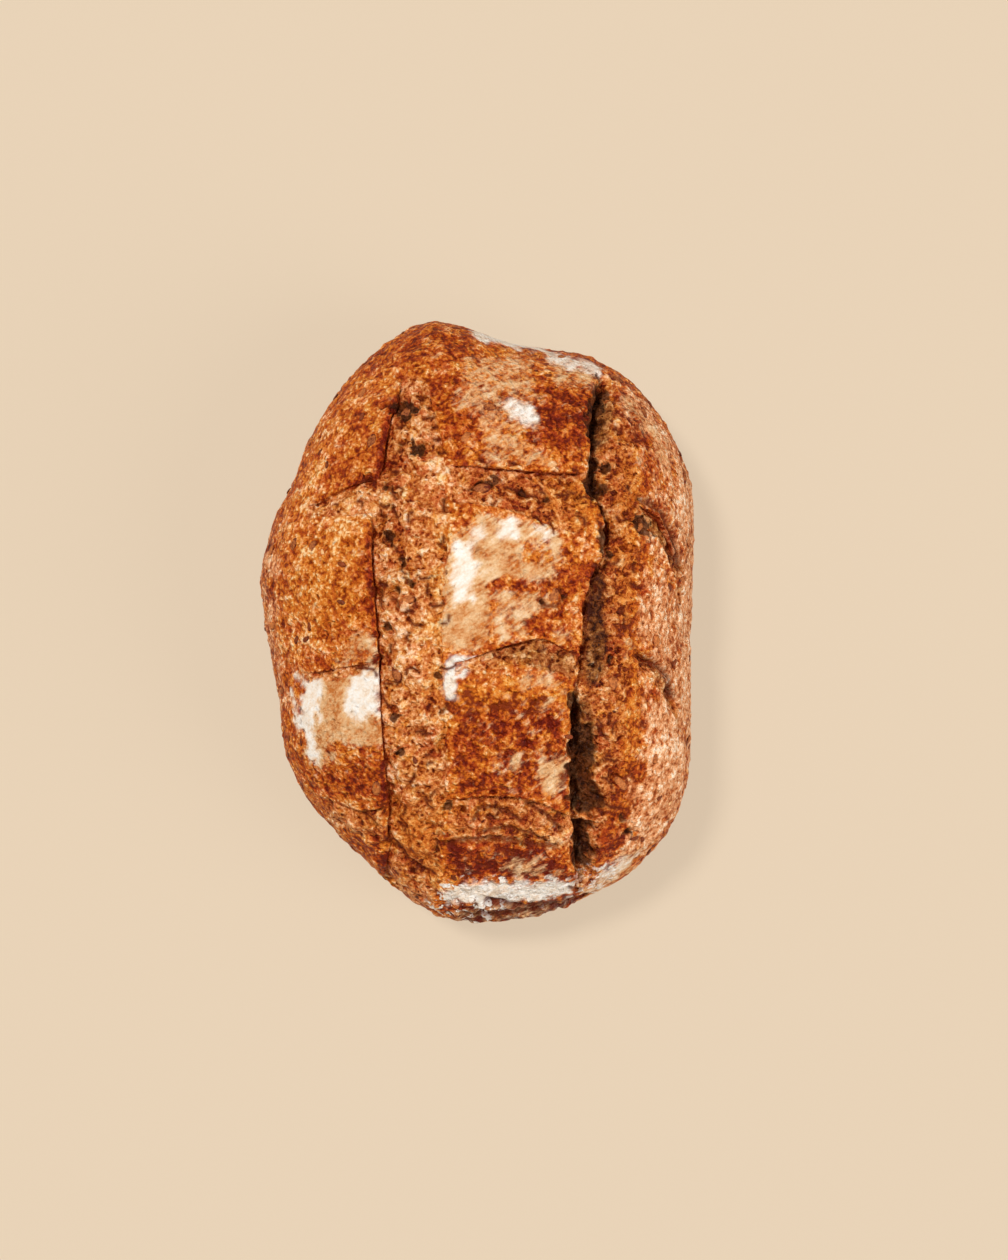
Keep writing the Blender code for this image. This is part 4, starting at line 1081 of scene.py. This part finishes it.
class Shading:
    """Builds one material's nodes with short calls. Positions are the object's own, in metres."""

    def __init__(self, name):
        self.material = bpy.data.materials.new(name)
        self.material.use_nodes = True
        self.links = self.material.node_tree.links
        self.shader = self.material.node_tree.nodes["Principled BSDF"]
        self.place = self.node("TexCoord", {}).outputs["Object"]

    def put(self, value, socket):
        if isinstance(value, bpy.types.NodeSocket):
            self.links.new(value, socket)
        else:
            socket.default_value = (*value, 1) if socket.type == "RGBA" else value

    def node(self, kind, sockets, **settings):
        """A new node with its settings, then its sockets, by name or number."""
        made = self.material.node_tree.nodes.new("ShaderNode" + kind)
        for name, value in settings.items():
            setattr(made, name, value)
        for name, value in sockets.items():
            self.put(value, made.inputs[name])
        return made

    def surface(self, **sockets):
        """The shader's own sockets, named with _ for each space."""
        for name, value in sockets.items():
            self.put(value, self.shader.inputs[name.replace("_", " ")])

    def field(self, name):
        return self.node("Attribute", {}, attribute_name=name).outputs["Fac"]

    def times(self, a, b, clamp=False):
        return self.node("Math", {0: a, 1: b}, operation="MULTIPLY", use_clamp=clamp).outputs[0]

    def larger(self, a, b):
        return self.node("Math", {0: a, 1: b}, operation="MAXIMUM").outputs[0]

    def total(self, constant, *terms):
        """constant plus the sum of weight times value over the terms."""
        for weight, value in terms:
            sockets = {0: value, 1: weight, 2: constant}
            constant = self.node("Math", sockets, operation="MULTIPLY_ADD").outputs[0]
        return constant

    def turned(self, degrees, stretch):
        """The place, turned about z and then stretched."""
        turn = (0, 0, math.radians(-degrees))
        spin = self.node("Mapping", {"Rotation": turn, "Vector": self.place}).outputs["Vector"]
        return self.node("Mapping", {"Scale": stretch, "Vector": spin}).outputs["Vector"]

    def noise(self, size, detail=2.0, roughness=0.55, distortion=0.0, place=None, out="Fac"):
        """Soft noise around 0, or colours around grey, of features about size millimetres across."""
        sockets = {"Scale": 1 / (size * MM), "Detail": detail, "Roughness": roughness}
        sockets |= {"Distortion": distortion, "Vector": place or self.place}
        made = self.node("TexNoise", sockets).outputs[out]
        return made if out == "Color" else self.total(-0.5, (1.0, made))

    def warped(self, size, reach):
        """The place, pushed about by up to reach millimetres."""
        push = {0: self.noise(size, 1.0, 0.5, out="Color"), 1: (4 * reach * MM,) * 3, 2: self.place}
        return self.node("VectorMath", push, operation="MULTIPLY_ADD").outputs["Vector"]

    def cells(self, size, place, feature="F1"):
        """Distance to the middle, or to the edge, of uneven cells about size millimetres across."""
        sockets = {"Scale": 1 / (size * MM), "Vector": place}
        return self.node("TexVoronoi", sockets, feature=feature).outputs["Distance"]

    def ramp(self, value, stops):
        """The colour at the value. Each stop is its place and its colour as the screen shows it."""
        made = self.node("ValToRGB", {"Fac": value})
        elements = made.color_ramp.elements
        elements[0].position, elements[1].position = stops[0][0], stops[-1][0]
        for stop in stops[1:-1]:
            elements.new(stop[0])
        for element, (_, *colour) in zip(elements, stops):
            element.color = (*srgb(*colour), 1)
        return made.outputs["Color"]

    def mix(self, part, a, b):
        made = self.node("Mix", {"Factor": part, "A": a, "B": b}, data_type="RGBA")
        return next(out for out in made.outputs if out.type == "RGBA")

    def ease(self, value, low, high):
        """0 below low, 1 above high, smooth between."""
        sockets = {"From Min": low, "From Max": high, "Value": value}
        return self.node("MapRange", sockets, interpolation_type="SMOOTHSTEP").outputs["Result"]

    def bump(self, height, strength, distance):
        sockets = {"Strength": strength, "Distance": distance * MM, "Height": height}
        self.surface(Normal=self.node("Bump", sockets).outputs["Normal"])


FLOOR_COLOUR = srgb(232, 211, 184)
WORLD_COLOUR = srgb(240, 232, 220)

# Tones along each ramp, as place and colour; the lightest, peach stops of the crust and crumb ramps paint
# small highlights. Then the colours of painted shade in creases, pits and holes, curled strands and grooves,
# and the colour of cracks in the flour
CRUST_TONES = (
    (0.02, 96, 20, 0), (0.2, 138, 44, 2), (0.37, 174, 74, 8), (0.5, 198, 102, 28), (0.63, 214, 126, 52),
    (0.78, 238, 164, 100), (0.95, 254, 214, 168),
)
CRUMB_TONES = (
    (0.02, 82, 18, 2), (0.2, 134, 50, 8), (0.36, 178, 92, 34), (0.5, 202, 122, 62), (0.64, 222, 150, 92),
    (0.8, 242, 186, 134), (0.96, 254, 220, 186),
)
FLANK_TONES = (
    (0.05, 128, 50, 10), (0.25, 178, 92, 42), (0.42, 208, 132, 80), (0.58, 228, 158, 108),
    (0.75, 244, 188, 142), (0.95, 254, 224, 194),
)
GOLD_TONES = (
    (0.1, 132, 50, 4), (0.4, 204, 108, 22), (0.65, 226, 146, 48), (0.95, 250, 210, 136),
)
OLIVE_TONES = (
    (0.05, 52, 16, 2), (0.4, 118, 62, 22), (0.66, 164, 104, 48), (0.95, 214, 164, 100),
)
RED_TONES = (
    (0.05, 96, 14, 0), (0.38, 164, 54, 10), (0.62, 204, 98, 42), (0.95, 250, 188, 140),
)
THIN_FLOUR_TONES = (
    (0.05, 184, 108, 50), (0.3, 206, 150, 98), (0.55, 219, 177, 131), (0.9, 234, 206, 174),
)
THICK_FLOUR_TONES = (
    (0.1, 204, 166, 132), (0.45, 226, 206, 184), (0.8, 234, 230, 224),
)
# Painted crease shade, as its dark and its pale tone
PAINTED_CREASE_SHADE = srgb(160, 44, 12)
PAINTED_CREASE_SHADE_PALE = srgb(196, 92, 40)
# Painted shade in the right cut's pits and in holes, as its dark and its pale tone
PAINTED_PIT_SHADE = srgb(34, 8, 0)
PAINTED_PIT_SHADE_PALE = srgb(98, 44, 10)
# Painted shade in curled strands and grooves
PAINTED_CURL_SHADE = srgb(92, 30, 6)
CRACK_SHADE = srgb(120, 66, 34)


def crust_colour(m, noises, edge):
    """Mottled crust and open crumb, redder and more golden in places, and dusty on the flank, with painted
    highlight and shade on bumps, cells, cut edges and pores.
    """
    speck, fleck, patch, broad, warped = noises
    hue = m.noise(6.5, 3.0, 0.65, 1.0)
    golden = m.larger(m.field("gold"), m.times(m.ease(hue, 0.0, 0.18), 0.65))
    # Redder where the hue noise says so, and on the left flap's edge with its painted shade
    reddish = m.larger(m.times(m.ease(hue, 0.0, -0.14), 0.65), m.times(edge, -1.0, True))
    # Cells lighter in their middles and darker in their gaps: painted highlight and shade on the cobbles
    small = m.total(-0.45, (1.0, m.cells(2.0, warped)))
    large = m.total(-0.45, (1.0, m.cells(4.0, warped)))
    # cavity: lighter bumps, darker hollows, partly the crust's own tone and partly painted highlight and
    # shade
    cavity, brown, pale = m.field("cavity"), m.field("brown"), m.field("pale")
    tone = m.total(0.46, (0.95, speck), (0.75, fleck), (0.45, patch), (0.6, broad), (-0.6, small))
    # edge: painted highlight on cut edges and ridges, painted shade on the left flap's edge
    tone = m.total(tone, (-0.25, large), (0.2, cavity), (-0.17, brown), (0.09, pale), (0.17, edge))
    crust = m.mix(reddish, m.ramp(tone, CRUST_TONES), m.ramp(tone, RED_TONES))
    crust = m.mix(golden, crust, m.ramp(tone, GOLD_TONES))
    slopes = m.noise(1.7, 2.0, 0.6, 0.5, m.turned(66, (0.4, 1, 0.6)))
    dusty = m.total(0.0, (1.0, m.field("dust")), (0.8, slopes), (0.9, fleck), (1.2, patch))
    flank = m.ramp(m.total(0.07, (1.0, tone), (1.0, slopes)), FLANK_TONES)
    crust = m.mix(m.ease(dusty, 0.2, 0.9), crust, flank)
    # Painted shade in the crumb's small pores, which the bump also sinks
    painted_pore_shade = m.total(1.0, (-1.0, m.ease(m.cells(3.2, warped), 0.1, 0.42)))
    painted_pore_shade = m.times(painted_pore_shade, m.ease(m.noise(5.0), -0.08, 0.06))
    tone = m.total(0.54, (1.1, speck), (1.1, fleck), (0.2, patch), (-0.35, small), (0.12, cavity))
    # edge again: painted highlight on ridges, painted shade on the left flap's edge
    tone = m.total(tone, (0.14, pale), (-0.14, brown), (0.1, edge), (-0.42, painted_pore_shade))
    crumb = m.mix(reddish, m.ramp(tone, CRUMB_TONES), m.ramp(tone, RED_TONES))
    crumb = m.mix(golden, crumb, m.ramp(tone, GOLD_TONES))
    crumb = m.mix(m.field("olive"), crumb, m.ramp(tone, OLIVE_TONES))
    relief = m.total(0.0, (1.1, speck), (1.2, fleck), (-1.0, small), (-0.9, large), (-0.8, painted_pore_shade))
    return m.mix(m.ease(m.field("crumb"), 0.2, 0.8), crust, crumb), relief


def flour_over(m, colour, noises, strokes):
    """Thin and thick flour in ragged patches over the crust, and the cover of each."""
    speck, fleck, patch, _, warped = noises
    grain = m.noise(1.0, 2.0, 0.7)
    white, crag = m.field("white"), m.field("crag")
    thin = m.total(0.0, (1.1, m.field("tan")), (1.4, strokes), (0.9, fleck), (0.9, patch))
    thin_cover = m.ease(m.total(thin, (0.15, m.field("cavity"))), 0.2, 1.0)
    tone = m.total(0.36, (1.0, strokes), (0.7, grain), (1.3, patch), (0.4, white))
    colour = m.mix(thin_cover, colour, m.ramp(tone, THIN_FLOUR_TONES))
    chunks = m.times(crag, m.ease(m.noise(4.0, 2.0, 0.6), 0.04, 0.1))
    thick = m.total(0.0, (1.0, white), (0.5, strokes), (0.2, speck), (0.6, patch), (0.9, chunks))
    thick_cover = m.ease(thick, 0.2, 0.95)
    tone = m.total(0.62, (0.7, strokes), (0.6, grain), (0.6, patch))
    colour = m.mix(thick_cover, colour, m.ramp(tone, THICK_FLOUR_TONES))
    crack = m.total(1.0, (-1.0, m.ease(m.cells(4.6, warped, "DISTANCE_TO_EDGE"), 0.0, 0.06)))
    crack = m.times(m.times(crack, m.ease(m.total(0.5, (3.0, patch)), 0.45, 0.8)), m.times(crag, 0.8))
    return m.mix(crack, colour, CRACK_SHADE), thin_cover, thick_cover


def loaf_material():
    """Mottled crust, open crumb in the cuts, flour in ragged patches, and painted shade in creases, pits,
    holes, curled strands and grooves.
    """
    m = Shading("baked_crust")
    speck, fleck, patch = m.noise(1.4, 2.0, 0.65, 0.2), m.noise(3.2, 3.0, 0.6, 0.8), m.noise(7.5)
    noises = (speck, fleck, patch, m.noise(24.0), m.warped(2.6, 0.7))
    strokes = m.noise(1.9, 2.0, 0.6, 0.3, m.turned(34, (0.3, 1, 1)))
    colour, relief = crust_colour(m, noises, m.field("edge"))
    colour, thin_cover, thick_cover = flour_over(m, colour, noises, strokes)
    # Painted shade in curled strands and grooves
    colour = m.mix(m.times(m.field("curl"), 0.95), colour, PAINTED_CURL_SHADE)
    # Noise that mixes the dark and the pale tone of each painted shade
    depth = m.ease(m.total(0.42, (1.2, speck), (1.8, fleck), (1.4, patch)), 0.1, 0.9)
    # Painted shade in the creases
    colour = m.mix(m.times(m.field("deep"), 0.8), colour, m.mix(depth, PAINTED_CREASE_SHADE, PAINTED_CREASE_SHADE_PALE))
    # Painted shade in the right cut's pits and in holes
    pit = m.ease(m.total(0.0, (1.0, m.field("pit")), (1.6, fleck), (1.0, patch)), 0.2, 0.8)
    colour = m.mix(m.times(pit, 0.93), colour, m.mix(depth, PAINTED_PIT_SHADE, PAINTED_PIT_SHADE_PALE))
    roughness = m.total(0.5, (0.4, thin_cover), (0.8, fleck))
    m.surface(Base_Color=colour, Roughness=roughness, Specular_IOR_Level=0.12)
    smooth = m.total(1.0, (-0.45, thin_cover), (-0.3, thick_cover))
    m.bump(m.times(m.total(relief, (0.5, strokes)), smooth), 1.0, 1.0)
    return m.material


def seed_material(name, dark, light, roughness):
    """Toasted seed skin: tinted seed by seed, a little mottled, and painted shade darker towards the crust.
    """
    m = Shading(name)
    mottle = m.noise(1.3, 2.0, 0.7)
    # rise: lower on the seed is darker, painted shade where it meets the crust
    tone = m.total(-0.15, (0.5, m.field("tint")), (1.9, mottle), (0.45, m.ease(m.field("rise"), 0.3, 0.8)))
    colour = m.ramp(tone, ((0.0, *dark), (1.0, *light)))
    m.surface(Base_Color=colour, Roughness=roughness, Specular_IOR_Level=0.2)
    m.bump(mottle, 0.8, 0.8)
    return m.material


def room_mesh(name, points, faces, shade, glow):
    """A mesh of the floor's colour that gives back a share of the light and glows by itself."""
    m = Shading("pale_" + name)
    dull = tuple(shade * v for v in FLOOR_COLOUR)
    m.surface(Base_Color=dull, Roughness=1.0, Specular_IOR_Level=0.0)
    m.surface(Emission_Color=FLOOR_COLOUR, Emission_Strength=glow)
    mesh = bpy.data.meshes.new(name)
    mesh.from_pydata(points, [], faces)
    mesh.materials.append(m.material)
    return linked(mesh)


def stage_room():
    """A pale floor that glows, so that shadows on it stay faint, and a wall round it that only the camera
    sees, so that it takes no light away."""
    size = FLOOR_SIZE
    corners = [(-size, -size, 0), (size, -size, 0), (size, size, 0), (-size, size, 0)]
    floor = room_mesh("floor", corners, [(0, 1, 2, 3)], FLOOR_SHADE, FLOOR_GLOW)
    floor.location.z = FLOOR_LEVEL
    turns = np.linspace(0, 2 * math.pi, WALL_SIDES, endpoint=False)
    foot = np.stack([np.cos(turns), np.sin(turns), np.zeros(WALL_SIDES)], -1) * size
    points = np.concatenate([foot, foot + (0, 0, WALL_HEIGHT)]).tolist()
    lower = np.arange(WALL_SIDES)
    wall = room_mesh("wall", points, between(lower + WALL_SIDES, lower), 0.0, 1.0)
    wall.visible_diffuse = wall.visible_glossy = wall.visible_shadow = False


def sun(name, azimuth, elevation, strength, softness):
    """Even light from one side. The azimuth counts from +X, as angles round the loaf do."""
    light = bpy.data.lights.new(name, "SUN")
    light.energy = strength
    light.angle = math.radians(softness)
    a, e = math.radians(azimuth), math.radians(elevation)
    source = Vector((math.cos(a) * math.cos(e), math.sin(a) * math.cos(e), math.sin(e)))
    lamp = linked(light)
    lamp.rotation_mode = "QUATERNION"
    lamp.rotation_quaternion = source.to_track_quat("Z", "Y")


def light_scene():
    world = bpy.data.worlds.new("soft_room")
    world.use_nodes = True
    background = world.node_tree.nodes["Background"]
    background.inputs["Color"].default_value = (*WORLD_COLOUR, 1)
    background.inputs["Strength"].default_value = WORLD_STRENGTH
    bpy.context.scene.world = world
    sun("key", *KEY_LIGHT)
    sun("fill", *FILL_LIGHT)
    bpy.context.scene.view_settings.view_transform = "Standard"


def place_camera():
    """Looks down on the loaf as the photo does, with the loaf's middle at its pixel."""
    right = (Vector((1, 0, 0)) - TOWARDS_CAMERA.x * TOWARDS_CAMERA).normalized()
    up = TOWARDS_CAMERA.cross(right)
    distance = LENS / SENSOR * PHOTO_SIZE[1] * MM_PER_PIXEL
    off_x = (PHOTO_SIZE[0] / 2 - LOAF_PIXEL[0]) * MM_PER_PIXEL
    off_y = (PHOTO_SIZE[1] / 2 - LOAF_PIXEL[1]) * MM_PER_PIXEL
    target = Vector((-BOX_MIDDLE[0], -BOX_MIDDLE[1], BELLY)) + off_x * right - off_y * up
    turn = Matrix((right, up, TOWARDS_CAMERA)).transposed().to_4x4()
    lens = bpy.data.cameras.new("camera")
    lens.lens = LENS
    lens.sensor_width = SENSOR
    lens.clip_start, lens.clip_end = CLIP
    camera = linked(lens)
    camera.matrix_world = Matrix.Translation((target + distance * TOWARDS_CAMERA) * MM) @ turn
    bpy.context.scene.camera = camera


def main():
    place_camera()
    light_scene()
    stage_room()
    strips, tree = build_loaf()
    crust = loaf_material()
    for strip in strips:
        strip.data.materials.append(crust)
        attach(strip, "root")
        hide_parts("loaf")
    sites = {name: small_sites(*sizes) for name, sizes in SMALL_SEEDS.items()}
    sites["wheat_kernels"] = kernel_sites()
    for name, (thickness, proud, point, crease, seed, *paint) in SEED_LOOKS.items():
        form, rng = seed_form(point, crease), random.Random(seed)
        piece = make_seeds(name, tree, sites[name], thickness, proud, form, rng)
        piece.data.materials.append(seed_material(name, *paint))
        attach(piece, "root")


main()
